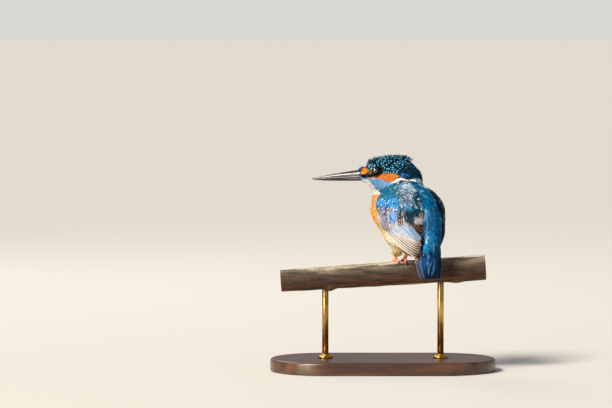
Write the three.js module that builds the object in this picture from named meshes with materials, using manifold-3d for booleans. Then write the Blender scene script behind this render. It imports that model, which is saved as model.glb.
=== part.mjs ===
// A life-size common kingfisher sitting on a short cut length of branch, which two rods hold over a flat base.
// Millimetres, +Z up. The origin is the centre of the base's underside, the branch runs along X, and the bird
// sits across it with its back half turned to -Y and its head turned over its left shoulder, bill to -X.
import * as THREE from "three";
import { mergeVertices } from "three/addons/utils/BufferGeometryUtils.js";
import Module from "manifold-3d";

const wasm = await Module();
wasm.setup();

// ---------------------------------------------------------------- driving dimensions

const GAP = 0.3; // clearance between pieces that touch

const PERCH = { length: 160, tilt: 3.8, height: 75.6, radiusLeft: 8.5, radiusRight: 9.9 };
const BASE = { length: 176, depth: 88, height: 10, chamfer: 1.6 };
const ROD = { radius: 2.5, spread: 45, intoPerch: 6, collarRadius: 6, collarHeight: 3 };

// The feet stand at FEET_X along the perch. BODY_TURN and HEAD_TURN are headings about +Z, where 0 faces +X.
const FEET_X = 14;
const BODY_TURN = 132;
const HEAD_TURN = 170;

// The body frame has +X forwards, +Y to the bird's left and +Z up, with its origin between the feet, on top of
// the perch. The head frame is the same way round, with its origin at the middle of the skull.
const SKULL_AT = [7.4, 6.8, 69];

// ---------------------------------------------------------------- small helpers

const rad = THREE.MathUtils.degToRad;
const lerp = THREE.MathUtils.lerp;
const vec = (x, y, z) => new THREE.Vector3(x, y, z);

// A closed surface through rings of points, all wound the same way, with a pole beyond each end.
function skinRings(rings, startPole, endPole) {
  const count = rings[0].length;
  const points = [startPole, ...rings.flat(), endPole];
  const last = points.length - 1;
  const at = (ring, i) => 1 + ring * count + (i % count);
  const faces = [];
  for (let i = 0; i < count; i++) {
    faces.push(0, at(0, i + 1), at(0, i));
    for (let r = 0; r < rings.length - 1; r++) {
      faces.push(at(r, i), at(r, i + 1), at(r + 1, i + 1));
      faces.push(at(r, i), at(r + 1, i + 1), at(r + 1, i));
    }
    faces.push(last, at(rings.length - 1, i), at(rings.length - 1, i + 1));
  }
  const geometry = new THREE.BufferGeometry().setFromPoints(points);
  geometry.setIndex(faces);
  return geometry;
}

const middle = (ring) => ring.reduce((sum, p) => sum.add(p), vec(0, 0, 0)).divideScalar(ring.length);

// A loft with flat ends.
const flatEnded = (rings) => skinRings(rings, middle(rings[0]), middle(rings.at(-1)));

// A round bar along a path, with radius(t) for t from 0 to 1 and its own frame at each step.
function bar(path, radius, steps, sides) {
  const rings = [];
  for (let k = 0; k <= steps; k++) {
    const t = k / steps;
    const along = path.getTangentAt(t);
    const across = vec(0, 0, 1).cross(along).normalize();
    const over = along.clone().cross(across);
    rings.push(
      Array.from({ length: sides }, (_, i) => {
        const turn = (2 * Math.PI * i) / sides;
        const out = across.clone().multiplyScalar(Math.cos(turn)).addScaledVector(over, Math.sin(turn));
        return path.getPointAt(t).addScaledVector(out, radius(t, turn));
      }),
    );
  }
  return flatEnded(rings);
}

// ---------------------------------------------------------------- joining and cutting

function toSolid(geometry) {
  const bare = geometry.clone();
  bare.deleteAttribute("normal");
  bare.deleteAttribute("uv");
  const merged = mergeVertices(bare, 1e-4);
  const made = new wasm.Manifold(
    new wasm.Mesh({
      numProp: 3,
      vertProperties: new Float32Array(merged.attributes.position.array),
      triVerts: new Uint32Array(merged.index.array),
    }),
  );
  if (made.volume() < 0) throw new Error("a surface is inside out");
  return made;
}

function toGeometry(solid) {
  const { vertProperties, triVerts } = solid.getMesh();
  const geometry = new THREE.BufferGeometry();
  geometry.setAttribute("position", new THREE.BufferAttribute(vertProperties, 3));
  geometry.setIndex(new THREE.BufferAttribute(triVerts, 1));
  return geometry;
}

// The half of space above a plane through a point, as a block wide enough for the bird.
function above(point, normal) {
  const size = 300;
  const block = new THREE.BoxGeometry(size, size, size);
  block.translate(0, 0, size / 2);
  const turn = new THREE.Quaternion().setFromUnitVectors(vec(0, 0, 1), normal.clone().normalize());
  block.applyQuaternion(turn);
  block.translate(point.x, point.y, point.z);
  return toSolid(block);
}

// ---------------------------------------------------------------- the bird's flesh, as one soft form

// Each muscle is an ellipsoid: its centre, its half sizes and its pitch in degrees, nose up. A side value
// gives a pair, left and right.
const BODY_MUSCLES = [
  { name: "chest", at: [2.4, 0, 39.5], size: [23.4, 22, 20], pitch: 12 },
  { name: "mantle", at: [-14, 0, 41], size: [22.5, 21, 19], pitch: 0 },
  { name: "belly", at: [-2.5, 0, 25], size: [16.5, 17, 17], pitch: 25 },
  { name: "rump", at: [-23, 0, 25], size: [14, 16, 19], pitch: 0 },
  { name: "vent", at: [-17, 0, 16], size: [13, 11.5, 8], pitch: 28 },
  { name: "tail coverts", at: [-32.5, 0, 14.5], size: [6, 9.5, 11], pitch: 0 },
  { name: "neck", at: [0, 3.4, 57], size: [15.5, 14.5, 12], pitch: 0 },
];
const HEAD_MUSCLES = [
  { name: "brain case", at: [-1.5, 0, 1.8], size: [17.5, 12, 11.2], pitch: -5 },
  { name: "face", at: [10.5, 0, -1.2], size: [11.5, 7.8, 8], pitch: -4 },
  { name: "cheek", at: [2.5, 5.4, -6], size: [12.5, 6.8, 6.6], pitch: 0, side: true },
  { name: "throat", at: [6.5, 0, -10.5], size: [8.5, 7.5, 7], pitch: 25 },
  { name: "nape", at: [-13.5, -1, -7], size: [13.5, 11.5, 14], pitch: 0 },
];
// The swept tuft of crown feathers, which stands free of the nape at its tip.
const CREST = { at: [-8.5, 0, 11.2], size: [10, 4.4, 2], pitch: -1 };
const BLEND = 4; // how softly two muscles run together

const headToBody = new THREE.Matrix4()
  .makeTranslation(...SKULL_AT)
  .multiply(new THREE.Matrix4().makeRotationZ(rad(HEAD_TURN - BODY_TURN)));

// Muscle centres and turns are prepared once. Points then come in the body frame.
function prepare(muscles, frame) {
  return muscles.flatMap(({ at: [x, y, z], size, pitch, side }) =>
    (side ? [1, -1] : [1]).map((sign) => ({
      size: vec(...size),
      inward: frame
        .clone()
        .multiply(new THREE.Matrix4().makeTranslation(x, y * sign, z))
        .multiply(new THREE.Matrix4().makeRotationY(rad(-pitch)))
        .invert(),
    })),
  );
}
const FLESH = [...prepare(BODY_MUSCLES, new THREE.Matrix4()), ...prepare(HEAD_MUSCLES, headToBody)];

// Signed distance, near enough, from a point to one ellipsoid.
function toEllipsoid(point, { size, inward }) {
  const q = point.clone().applyMatrix4(inward);
  const near = q.clone().divide(size).length();
  const steep = q.clone().divide(size).divide(size).length();
  return steep < 1e-9 ? -Math.min(size.x, size.y, size.z) : (near * (near - 1)) / steep;
}

// Signed distance to a set of ellipsoids that run together.
function toForm(point, ellipsoids, blend) {
  return ellipsoids.reduce((distance, each) => {
    const other = toEllipsoid(point, each);
    const mix = Math.max(blend - Math.abs(distance - other), 0) / blend;
    return Math.min(distance, other) - (mix * mix * blend) / 4;
  }, 1e3);
}
const toFlesh = (point) => toForm(point, FLESH, BLEND);

// How far a ray from inside a form runs before it leaves it, at most reach.
function rayOut(distance, from, direction, reach) {
  const step = 1.5;
  const halvings = 12;
  let inside = 0;
  let outside = step;
  const at = (s) => distance(from.clone().addScaledVector(direction, s));
  while (outside < reach && at(outside) < 0) [inside, outside] = [outside, outside + step];
  for (let i = 0; i < halvings; i++) {
    const mid = (inside + outside) / 2;
    if (at(mid) < 0) inside = mid;
    else outside = mid;
  }
  return Math.min(inside, reach);
}

// A shell on the surface of a form, by rays from a straight core: level rings along it and a round cap at
// each end. grow lifts the whole surface.
function shell(distance, from, to, { rings, caps, sides, grow = 0, reach = 60 }) {
  const along = to.clone().sub(from).normalize();
  const across = vec(0, 1, 0).addScaledVector(along, -along.y).normalize();
  const over = along.clone().cross(across);
  const lifted = (p) => distance(p) - grow;
  const hit = (at, direction) => at.clone().addScaledVector(direction, rayOut(lifted, at, direction, reach));
  const ring = (at, lean) =>
    Array.from({ length: sides }, (_, i) => {
      const turn = (2 * Math.PI * i) / sides;
      const out = across.clone().multiplyScalar(Math.cos(turn)).addScaledVector(over, Math.sin(turn));
      return hit(at, out.multiplyScalar(Math.cos(lean)).addScaledVector(along, Math.sin(lean)));
    });
  const lean = (k) => (Math.PI / 2) * (k / (caps + 1));
  const made = [];
  for (let k = caps; k > 0; k--) made.push(ring(from, -lean(k)));
  for (let k = 0; k <= rings; k++) made.push(ring(from.clone().lerp(to, k / rings), 0));
  for (let k = 1; k <= caps; k++) made.push(ring(to, lean(k)));
  return toSolid(skinRings(made, hit(from, along.clone().negate()), hit(to, along)));
}

// ---------------------------------------------------------------- head, neck and trunk

// Two planes part the flesh. Each has a point and the way that is up through it.
const HEAD_PLANE = { point: vec(-6, 0, -8).applyMatrix4(headToBody), up: vec(0.25, 0, 1).transformDirection(headToBody) };
const NECK_PLANE = { point: vec(-4, 0, 55), up: vec(0.2, 0, 1).normalize() };
const keepAbove = (plane, lift) => above(plane.point.clone().addScaledVector(plane.up, lift), plane.up);
const keepBelow = (plane, drop) =>
  above(plane.point.clone().addScaledVector(plane.up, -drop), plane.up.clone().negate());

// The trunk's own core runs from the chest to the root of the tail.
const TRUNK_CORE = { from: vec(-4, 0, 46), to: vec(-26, 0, 14) };

function trunkShell(grow) {
  return shell(toFlesh, TRUNK_CORE.from, TRUNK_CORE.to, { rings: 9, caps: 5, sides: 26, grow });
}

function trunk() {
  return trunkShell(0).intersect(keepBelow(NECK_PLANE, GAP / 2));
}

function neckShell(grow) {
  return shell(toFlesh, vec(-3, 3, 54), vec(-3, 3, 62), { rings: 3, caps: 4, sides: 26, grow });
}

function neck() {
  return neckShell(0)
    .intersect(keepAbove(NECK_PLANE, GAP / 2))
    .intersect(keepBelow(HEAD_PLANE, GAP / 2));
}

// ---------------------------------------------------------------- bill and eyes, in the head frame

// The mouth line is mouthDrop under the skull's middle where the feathers end, and slopes down by droop degrees.
const BILL = { root: 13.5, feathers: 22.3, tip: 60.2, mouthDrop: 2.6, droop: 3.6, width: 8.2, tipRadius: 0.3 };
const MANDIBLES = {
  upper: { up: 1, high: 4.6, taper: 0.86 },
  lower: { up: -1, high: 4, taper: 0.45 },
};
const EYE = { at: [8.3, 8.2, 1.8], radius: 3.5 };

// One half of the dagger bill, on its own side of the mouth line, grown by a clearance.
function mandible({ up, high, taper }, grow) {
  const steps = 9;
  const sides = 6;
  const slope = -Math.tan(rad(BILL.droop));
  const sections = [];
  for (let k = 0; k <= steps; k++) {
    const x = lerp(BILL.root, BILL.tip + grow, k / steps);
    const left = 1 - Math.max(x - BILL.feathers, 0) / (BILL.tip - BILL.feathers + grow);
    const tall = Math.max(high * left ** taper, BILL.tipRadius) + 2 * grow;
    const wide = Math.max((BILL.width / 2) * left ** 0.95, BILL.tipRadius) + grow;
    const line = -BILL.mouthDrop + slope * (x - BILL.feathers) + up * (GAP / 2 - grow);
    const section = Array.from({ length: sides + 1 }, (_, i) => {
      const turn = (Math.PI * i) / sides;
      return vec(x, wide * Math.cos(turn), line + up * tall * Math.sin(turn) ** 0.92);
    });
    sections.push(up > 0 ? section : section.reverse());
  }
  return toSolid(flatEnded(sections));
}

function eyeball(side, grow) {
  const ball = new THREE.SphereGeometry(EYE.radius + grow, 12, 8);
  ball.translate(EYE.at[0], EYE.at[1] * side, EYE.at[2]);
  return ball;
}

// A single ellipsoid, grown by a clearance and pitched nose up.
function ellipsoid({ at, size, pitch }, sides, grow = 0) {
  const form = new THREE.SphereGeometry(1, sides, Math.round(sides / 2));
  form.scale(...size.map((half) => half + grow));
  form.rotateY(rad(-pitch));
  form.translate(...at);
  return toSolid(form);
}

function head() {
  const core = { from: vec(-9, -1, 0), to: vec(9, 0, -0.5) };
  const toHead = (p) => toFlesh(p.clone().applyMatrix4(headToBody));
  const bodyToHead = headToBody.clone().invert();
  const plane = {
    point: HEAD_PLANE.point.clone().applyMatrix4(bodyToHead),
    up: HEAD_PLANE.up.clone().transformDirection(bodyToHead),
  };
  return shell(toHead, core.from, core.to, { rings: 6, caps: 5, sides: 24 })
    .intersect(keepAbove(plane, GAP / 2))
    .add(ellipsoid(CREST, 14))
    .subtract(mandible(MANDIBLES.upper, GAP))
    .subtract(mandible(MANDIBLES.lower, GAP))
    .subtract(toSolid(eyeball(1, GAP)))
    .subtract(toSolid(eyeball(-1, GAP)));
}

// ---------------------------------------------------------------- wings and tail, in the body frame

// A folded wing is laid out on an upright plane that faces out and back. WING_FACE is the heading of the
// plane's normal in the body frame. The outline is drawn on it for the left wing, seen from outside: x runs
// from the shoulder (negative) to the back, y is height.
const WING_FACE = 138;
const WING_OUTLINE = [
  { name: "wrist", at: [-20.2, 45] },
  { name: "leading edge", at: [-15.5, 30.5] },
  { name: "outer quills", at: [-5.5, 15.5] },
  { name: "below the tip", at: [6, 7.6] },
  { name: "tip", at: [13.6, 5.2] },
  { name: "tertials", at: [17, 19] },
  { name: "inner edge", at: [19.4, 36] },
  { name: "shoulder blade", at: [16, 52] },
  { name: "top of shoulder", at: [-2, 57.5] },
  { name: "front of shoulder", at: [-15, 54] },
];
// The wings' outer faces lie on one rounded form, and each is as thick as the step down to the second form.
const WING_FORMS = [
  { name: "shoulders", at: [-8, 0, 40.5], size: [29, 28.5, 21], pitch: 8, thick: 3.4 },
  { name: "folded quills", at: [-18.5, 0, 25], size: [20, 22.4, 26], pitch: 6, thick: 1.8 },
];
const WING_BLEND = 4;
const WING_INNER = 5; // the wing keeps this far out from the body's middle, along the plane's normal
const WING_CORE = { from: vec(-9, 0, 42), to: vec(-18, 0, 22) };

function wingForm(inner, sides) {
  const thinned = WING_FORMS.map((each) => ({ ...each, size: each.size.map((s) => s - inner * each.thick) }));
  const ellipsoids = prepare(thinned, new THREE.Matrix4());
  return shell((p) => toForm(p, ellipsoids, WING_BLEND), WING_CORE.from, WING_CORE.to, { rings: 6, caps: 4, sides });
}

// The outline as a block that reaches from near the body's middle out past the wing.
function wingBlock() {
  const corners = WING_OUTLINE.map(({ at: [x, y] }) => vec(x, y, 0));
  const edge = new THREE.CatmullRomCurve3(corners, true).getPoints(22);
  const shape = new THREE.Shape(edge.map(({ x, y }) => new THREE.Vector2(x, y)));
  const block = new THREE.ExtrudeGeometry(shape, { depth: 60, bevelEnabled: false }).translate(0, 0, WING_INNER);
  const normal = vec(Math.cos(rad(WING_FACE)), Math.sin(rad(WING_FACE)), 0);
  const outward = vec(normal.y, -normal.x, 0).negate();
  block.applyMatrix4(new THREE.Matrix4().makeBasis(outward, vec(0, 0, 1), normal));
  return toSolid(block);
}

// The mirror image of a solid in the plane Y = 0, with its faces turned to point out again.
function mirrored(solid) {
  const geometry = toGeometry(solid).scale(1, -1, 1);
  const index = geometry.index.array;
  for (let i = 0; i < index.length; i += 3) [index[i + 1], index[i + 2]] = [index[i + 2], index[i + 1]];
  return toSolid(geometry);
}

function leftWing() {
  return wingForm(0, 22).intersect(wingBlock()).subtract(wingForm(1, 14));
}

const TAIL = { root: 15, tip: -13, behind: 36.2, rootThick: 2.6, tipThick: 1.3, notch: 0.9 };
const TAIL_SECTION = { rootWidth: 23, tipWidth: 20.5, rootCurve: 5, tipCurve: 1.3 }; // across the fan

// A closed fan of tail feathers that hangs straight down, arched at its root and nearly flat at its tip,
// grown by a clearance.
function tail(grow) {
  const rings = 6;
  const across = 8;
  const sections = [];
  for (let k = 0; k <= rings; k++) {
    const t = k / rings;
    const half = lerp(TAIL_SECTION.rootWidth, TAIL_SECTION.tipWidth, t) / 2 + grow;
    const curve = lerp(TAIL_SECTION.rootCurve, TAIL_SECTION.tipCurve, t ** 0.7);
    const thick = lerp(TAIL.rootThick, TAIL.tipThick, t) + 2 * grow;
    const face = (side) =>
      Array.from({ length: across + 1 }, (_, i) => {
        const u = (2 * i) / across - 1;
        const round = t === 1 ? TAIL.notch * u * u : 0;
        const edge = (thick / 2) * (1 - 0.45 * Math.abs(u) ** 3);
        return vec(-TAIL.behind + curve * u * u - side * edge, u * half, lerp(TAIL.root, TAIL.tip, t) + round);
      });
    sections.push([...face(1), ...face(-1).reverse()]);
  }
  return toSolid(flatEnded(sections));
}

// ---------------------------------------------------------------- legs and feet

// The feet stand side by side along the perch, a little past its top. Their toes head FOOT_TURN, nearly square
// across it. The thigh and the ankle are placed from the foot, in the body frame.
const FEET = { apart: 7.6, past: 0.8 };
const FOOT_TURN = 104;
const ANKLE = { back: 3.4, out: 0.8, up: 9.5 };
const THIGH = { back: 3, out: 1.8, up: 13, size: [5.4, 4.6, 7.6], pitch: 8 };
const SHANK = { top: 1.35, foot: 1.3, waist: 0.15, footLift: 3.7 };
const TOE = { root: 1.25, end: 0.85, claw: 3.4, clawTip: 0.3 };
const TOES = [
  { name: "inner", length: 10, turn: 15 },
  { name: "middle", length: 14, turn: 0 },
  { name: "outer", length: 12.5, turn: -10 },
  { name: "hind", length: 6.5, turn: 174 },
];

// A foot's place, forwards and to the left, in the body frame. The left foot is the one nearer to -X.
function footAt(side) {
  const along = (-FEET.apart / 2) * side;
  const turn = rad(BODY_TURN);
  return [
    along * Math.cos(turn) + FEET.past * Math.sin(turn),
    -along * Math.sin(turn) + FEET.past * Math.cos(turn),
  ];
}

function thigh(side, grow) {
  const [x, y] = footAt(side);
  return ellipsoid({ ...THIGH, at: [x - THIGH.back, y + THIGH.out * side, THIGH.up] }, 14, grow);
}

// The bare shank, from just under the thigh's feathers to the top of the foot.
function shank(side) {
  const [x, y] = footAt(side);
  const ankle = vec(x - ANKLE.back, y + ANKLE.out * side, ANKLE.up);
  const foot = vec(x, y, SHANK.footLift);
  const path = new THREE.LineCurve3(ankle, foot);
  const radius = (t) => lerp(SHANK.top, SHANK.foot, t) - SHANK.waist * Math.sin(Math.PI * t);
  return toSolid(bar(path, radius, 4, 8)).subtract(thigh(side, GAP));
}

// ---------------------------------------------------------------- the perch

const PERCH_RADIUS = (PERCH.radiusLeft + PERCH.radiusRight) / 2;

// Swellings on the branch: a broken side twig and two closed buds. s is along it, turn is about it from +Y.
const KNOTS = [
  { s: -42, turn: 250, size: 4, high: 2.1 },
  { s: -6, turn: 215, size: 6, high: 1.3 },
  { s: 57, turn: 285, size: 5, high: 1.2 },
];

// Radius of the branch at s along it, s = 0 in the middle.
function perchRadius(s) {
  return lerp(PERCH.radiusLeft, PERCH.radiusRight, s / PERCH.length + 0.5) + 0.18 * Math.sin(s / 9) * Math.sin(s / 23);
}

function perch() {
  const steps = 20;
  const sides = 16;
  const half = PERCH.length / 2;
  const swelling = (s, turn) =>
    KNOTS.reduce((sum, knot) => {
      const round = perchRadius(s) * Math.atan2(Math.sin(turn - rad(knot.turn)), Math.cos(turn - rad(knot.turn)));
      return sum + knot.high * Math.exp(-((s - knot.s) ** 2 + round ** 2) / knot.size ** 2);
    }, 0);
  const rings = [];
  for (let k = 0; k <= steps; k++) {
    const s = lerp(-half, half, k / steps);
    rings.push(
      Array.from({ length: sides }, (_, i) => {
        const turn = (2 * Math.PI * i) / sides;
        const r = perchRadius(s) + swelling(s, turn);
        return vec(s, r * Math.cos(turn), r * Math.sin(turn));
      }),
    );
  }
  return toSolid(flatEnded(rings));
}

// A place on the bark: s along the branch, out the distance round it from its top towards +Y, and a lift.
function onPerch(s, out, lift) {
  const turn = out / PERCH_RADIUS;
  const r = perchRadius(s) + lift;
  return vec(s, r * Math.sin(turn), r * Math.cos(turn));
}

// A foot: four toes that follow the bark, each with its claw, in the perch's own frame.
function foot(side) {
  const centre = { s: FEET_X / Math.cos(rad(PERCH.tilt)) - (FEET.apart / 2) * side, out: FEET.past };
  const steps = 7;
  const sides = 6;
  return TOES.map(({ length, turn }) => {
    const heading = rad(FOOT_TURN - turn * side);
    const whole = length + TOE.claw;
    const thickness = (t) => {
      const d = t * whole;
      if (d <= length) return lerp(TOE.root, TOE.end, d / length) * (1 + 0.07 * Math.cos((d / length) * 6 * Math.PI));
      return Math.max(lerp(TOE.end * 0.75, TOE.clawTip, (d - length) / TOE.claw), TOE.clawTip);
    };
    const points = Array.from({ length: 14 }, (_, i) => {
      const t = i / 13;
      const d = t * whole;
      const clawArch = d > length ? 0.9 * Math.sin((Math.PI * (d - length)) / TOE.claw) : 0;
      const rest = thickness(t) + GAP + clawArch + (t < 0.1 ? 0.35 * (1 - t / 0.1) : 0);
      return onPerch(centre.s + d * Math.cos(heading), centre.out + d * Math.sin(heading), rest);
    });
    return toSolid(bar(new THREE.CatmullRomCurve3(points), thickness, steps, sides));
  }).reduce((joined, toe) => joined.add(toe));
}

// ---------------------------------------------------------------- the stand

// The perch's underside height over the base, straight above x.
function rodTop(x) {
  return PERCH.height + x * Math.tan(rad(PERCH.tilt)) - perchRadius(x) + ROD.intoPerch;
}

function rod(x, grow) {
  const foot = BASE.height + GAP;
  const top = rodTop(x) + grow;
  const stick = new THREE.CylinderGeometry(ROD.radius + grow, ROD.radius + grow, top - foot, 16);
  stick.rotateX(Math.PI / 2);
  stick.translate(x, 0, (top + foot) / 2);
  return stick;
}

// A stepped collar that the rod stands in, turned about the rod's axis.
function collar(x) {
  const inner = ROD.radius + GAP;
  const foot = BASE.height + GAP;
  const profile = [
    [inner, 0],
    [ROD.collarRadius, 0],
    [ROD.collarRadius, ROD.collarHeight * 0.45],
    [ROD.collarRadius * 0.72, ROD.collarHeight],
    [inner, ROD.collarHeight],
    [inner, 0],
  ].map(([r, z]) => new THREE.Vector2(r, z));
  const ring = new THREE.LatheGeometry(profile, 18);
  ring.rotateX(Math.PI / 2);
  ring.translate(x, 0, foot);
  return ring;
}

// The base is an oblong board with round ends and a small chamfer top and bottom.
function base() {
  const end = BASE.depth / 2;
  const straight = BASE.length / 2 - end;
  const arcSteps = 12;
  const outline = (inset) => {
    const r = end - inset;
    const arc = (centre, start) =>
      Array.from({ length: arcSteps + 1 }, (_, i) => {
        const turn = start + (Math.PI * i) / arcSteps;
        return [centre + r * Math.cos(turn), r * Math.sin(turn)];
      });
    return [...arc(straight, -Math.PI / 2), ...arc(-straight, Math.PI / 2)];
  };
  const levels = [
    [0, BASE.chamfer / 2],
    [BASE.chamfer / 2, 0],
    [BASE.height - BASE.chamfer, 0],
    [BASE.height, BASE.chamfer],
  ];
  return flatEnded(levels.map(([z, inset]) => outline(inset).map(([x, y]) => vec(x, y, z))));
}

// ---------------------------------------------------------------- assembly

function material(color, roughness, metalness = 0) {
  return new THREE.MeshStandardMaterial({ color, roughness, metalness });
}
const AZURE = material(0x1486b4, 0.5);
const TEAL = material(0x14566e, 0.6);
const NIGHT_BLUE = material(0x0b3a58, 0.6);
const WHITE = material(0xece4d4, 0.8);
const HORN = material(0x1b1a1c, 0.35);
const EYE_BLACK = material(0x0a0706, 0.08);
const ORANGE = material(0xd9852c, 0.8);
const CORAL = material(0xc8452e, 0.5);
const BARK = material(0x75655a, 0.9);
const WALNUT = material(0x3a2418, 0.4);
const BRASS = material(0xb5924c, 0.3, 1);

const bird = new THREE.Group();
bird.position.set(FEET_X, 0, perchTopAt(FEET_X));
bird.rotation.z = rad(BODY_TURN);

const skull = new THREE.Group();
skull.position.set(...SKULL_AT);
skull.rotation.z = rad(HEAD_TURN - BODY_TURN);
bird.add(skull);

const branch = new THREE.Group();
branch.position.z = PERCH.height;
branch.rotation.y = -rad(PERCH.tilt);

const stand = new THREE.Group();
const kingfisher = new THREE.Group();
kingfisher.add(bird, branch, stand);

// Height of the top of the perch over the base's underside, at x.
function perchTopAt(x) {
  return PERCH.height + x * Math.tan(rad(PERCH.tilt)) + perchRadius(x);
}

function place(group, name, shape, finish) {
  const geometry = shape instanceof THREE.BufferGeometry ? shape : toGeometry(shape);
  const mesh = new THREE.Mesh(geometry, finish);
  mesh.name = name;
  group.add(mesh);
}

const SIDES = [
  ["left", 1],
  ["right", -1],
];
const trunkClearance = trunkShell(GAP);
const wingClearance = [neckShell(GAP), thigh(1, GAP), thigh(-1, GAP), tail(2 * GAP)].reduce(
  (sum, each) => sum.add(each),
  trunkClearance,
);
const wings = { left: leftWing(), right: mirrored(leftWing()) };

place(bird, "trunk", trunk(), TEAL);
place(bird, "neck", neck(), WHITE);
place(skull, "head", head(), NIGHT_BLUE);
place(skull, "bill_upper", mandible(MANDIBLES.upper, 0), HORN);
place(skull, "bill_lower", mandible(MANDIBLES.lower, 0), HORN);
place(bird, "tail", tail(0).subtract(trunkClearance), AZURE);
for (const [name, side] of SIDES) {
  place(skull, "eye_" + name, eyeball(side, 0), EYE_BLACK);
  place(bird, "wing_" + name, wings[name].subtract(wingClearance), TEAL);
  place(bird, "thigh_" + name, thigh(side, 0).subtract(trunkClearance), ORANGE);
  place(bird, "shank_" + name, shank(side), CORAL);
  place(branch, "foot_" + name, foot(side), CORAL);
}

const rods = [-ROD.spread, ROD.spread];
const drilled = rods.reduce((solid, x) => {
  const hole = rod(x, GAP);
  hole.translate(0, 0, -PERCH.height);
  hole.applyMatrix4(new THREE.Matrix4().makeRotationY(rad(PERCH.tilt)));
  return solid.subtract(toSolid(hole));
}, perch());
place(branch, "perch", drilled, BARK);
place(stand, "stand_base", base(), WALNUT);
rods.forEach((x, i) => {
  const name = i ? "right" : "left";
  place(stand, "stand_rod_" + name, rod(x, 0), BRASS);
  place(stand, "stand_collar_" + name, collar(x), BRASS);
});

export default kingfisher;
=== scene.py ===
"""A life-size common kingfisher on a cut length of branch, over a plain display stand."""
import math

import bmesh
import bpy
import numpy as np
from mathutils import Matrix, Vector
from mathutils.bvhtree import BVHTree


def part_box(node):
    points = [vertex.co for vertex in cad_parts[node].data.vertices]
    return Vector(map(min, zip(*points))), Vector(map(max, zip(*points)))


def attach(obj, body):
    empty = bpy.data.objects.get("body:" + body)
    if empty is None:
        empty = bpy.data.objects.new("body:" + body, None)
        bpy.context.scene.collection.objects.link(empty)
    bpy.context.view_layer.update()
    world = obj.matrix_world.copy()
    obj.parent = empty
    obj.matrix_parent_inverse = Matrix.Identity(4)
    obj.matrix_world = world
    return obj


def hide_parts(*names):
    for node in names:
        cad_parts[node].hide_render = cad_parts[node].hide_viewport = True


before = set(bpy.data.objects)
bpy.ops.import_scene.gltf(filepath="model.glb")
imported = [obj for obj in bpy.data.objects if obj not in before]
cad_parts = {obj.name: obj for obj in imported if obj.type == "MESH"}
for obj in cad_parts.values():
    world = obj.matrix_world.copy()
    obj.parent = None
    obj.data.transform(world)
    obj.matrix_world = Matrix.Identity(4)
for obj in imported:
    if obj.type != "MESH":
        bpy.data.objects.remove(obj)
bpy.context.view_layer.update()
MM = 0.001


# ------------------------------------------------------------------ camera
# A long lens, almost level with the bird. It frames the branch and leaves the open side in front of the bill.
AIM = Vector((-0.0601, 0.0, 0.1304))
CAMERA_RISE = math.radians(3.0)
CAMERA_AWAY = 2.652
camera_data = bpy.data.cameras.new("camera")
camera_data.lens = 200
camera_data.sensor_width = 36
camera_data.clip_end = 200
camera = bpy.data.objects.new("camera", camera_data)
camera.location = AIM + CAMERA_AWAY * Vector((0, -math.cos(CAMERA_RISE), math.sin(CAMERA_RISE)))
camera.rotation_euler = (math.pi / 2 - CAMERA_RISE, 0, 0)
bpy.context.collection.objects.link(camera)
bpy.context.scene.camera = camera


# ------------------------------------------------------------------ floor and light
# A pale studio floor and soft lamps: a large key high on the left, a weak fill on the right, a bounce from
# low on the left and a rim behind.
def paint(code, alpha=1.0):
    """A colour from its six-digit code, as the linear values that the shaders take."""
    parts = [int(code[i : i + 2], 16) / 255 for i in (0, 2, 4)]
    return [c / 12.92 if c <= 0.04045 else ((c + 0.055) / 1.055) ** 2.4 for c in parts] + [alpha]


def new_material(name, roughness, **sockets):
    """A material with its Principled shader, and that shader's sockets set by name."""
    material = bpy.data.materials.new(name)
    material.use_nodes = True
    shader = material.node_tree.nodes["Principled BSDF"]
    shader.inputs["Roughness"].default_value = roughness
    for socket, value in sockets.items():
        shader.inputs[socket.replace("_", " ")].default_value = value
    return material, material.node_tree, shader


def add_mesh(name, vertices, faces):
    """A new smooth object at the origin from plain lists."""
    mesh = bpy.data.meshes.new(name)
    mesh.from_pydata([tuple(v) for v in vertices], [], [tuple(f) for f in faces])
    mesh.shade_smooth()
    piece = bpy.data.objects.new(name, mesh)
    bpy.context.collection.objects.link(piece)
    return piece


FLOOR_HALF = 60.0
floor_corners = [(x * FLOOR_HALF, y * FLOOR_HALF, 0) for x, y in ((-1, -1), (1, -1), (1, 1), (-1, 1))]
floor = add_mesh("floor", floor_corners, [(0, 1, 2, 3)])
floor_paint = new_material("floor_paint", 1.0, Base_Color=paint("c2c1bd"), Specular_IOR_Level=0.0)[0]
floor.data.materials.append(floor_paint)

world = bpy.data.worlds.new("studio")
bpy.context.scene.world = world
world.use_nodes = True
sky = world.node_tree
soft_light = sky.nodes["Background"]
soft_light.inputs["Color"].default_value = paint("e6e9ee")
soft_light.inputs["Strength"].default_value = 0.36
backdrop = sky.nodes.new("ShaderNodeBackground")
backdrop.inputs["Color"].default_value = paint("dad8d3")
seen = sky.nodes.new("ShaderNodeLightPath")
either = sky.nodes.new("ShaderNodeMixShader")
sky.links.new(seen.outputs["Is Camera Ray"], either.inputs[0])
sky.links.new(soft_light.outputs["Background"], either.inputs[1])
sky.links.new(backdrop.outputs["Background"], either.inputs[2])
sky.links.new(either.outputs["Shader"], sky.nodes["World Output"].inputs["Surface"])
bpy.context.scene.view_settings.view_transform = "Standard"

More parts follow.
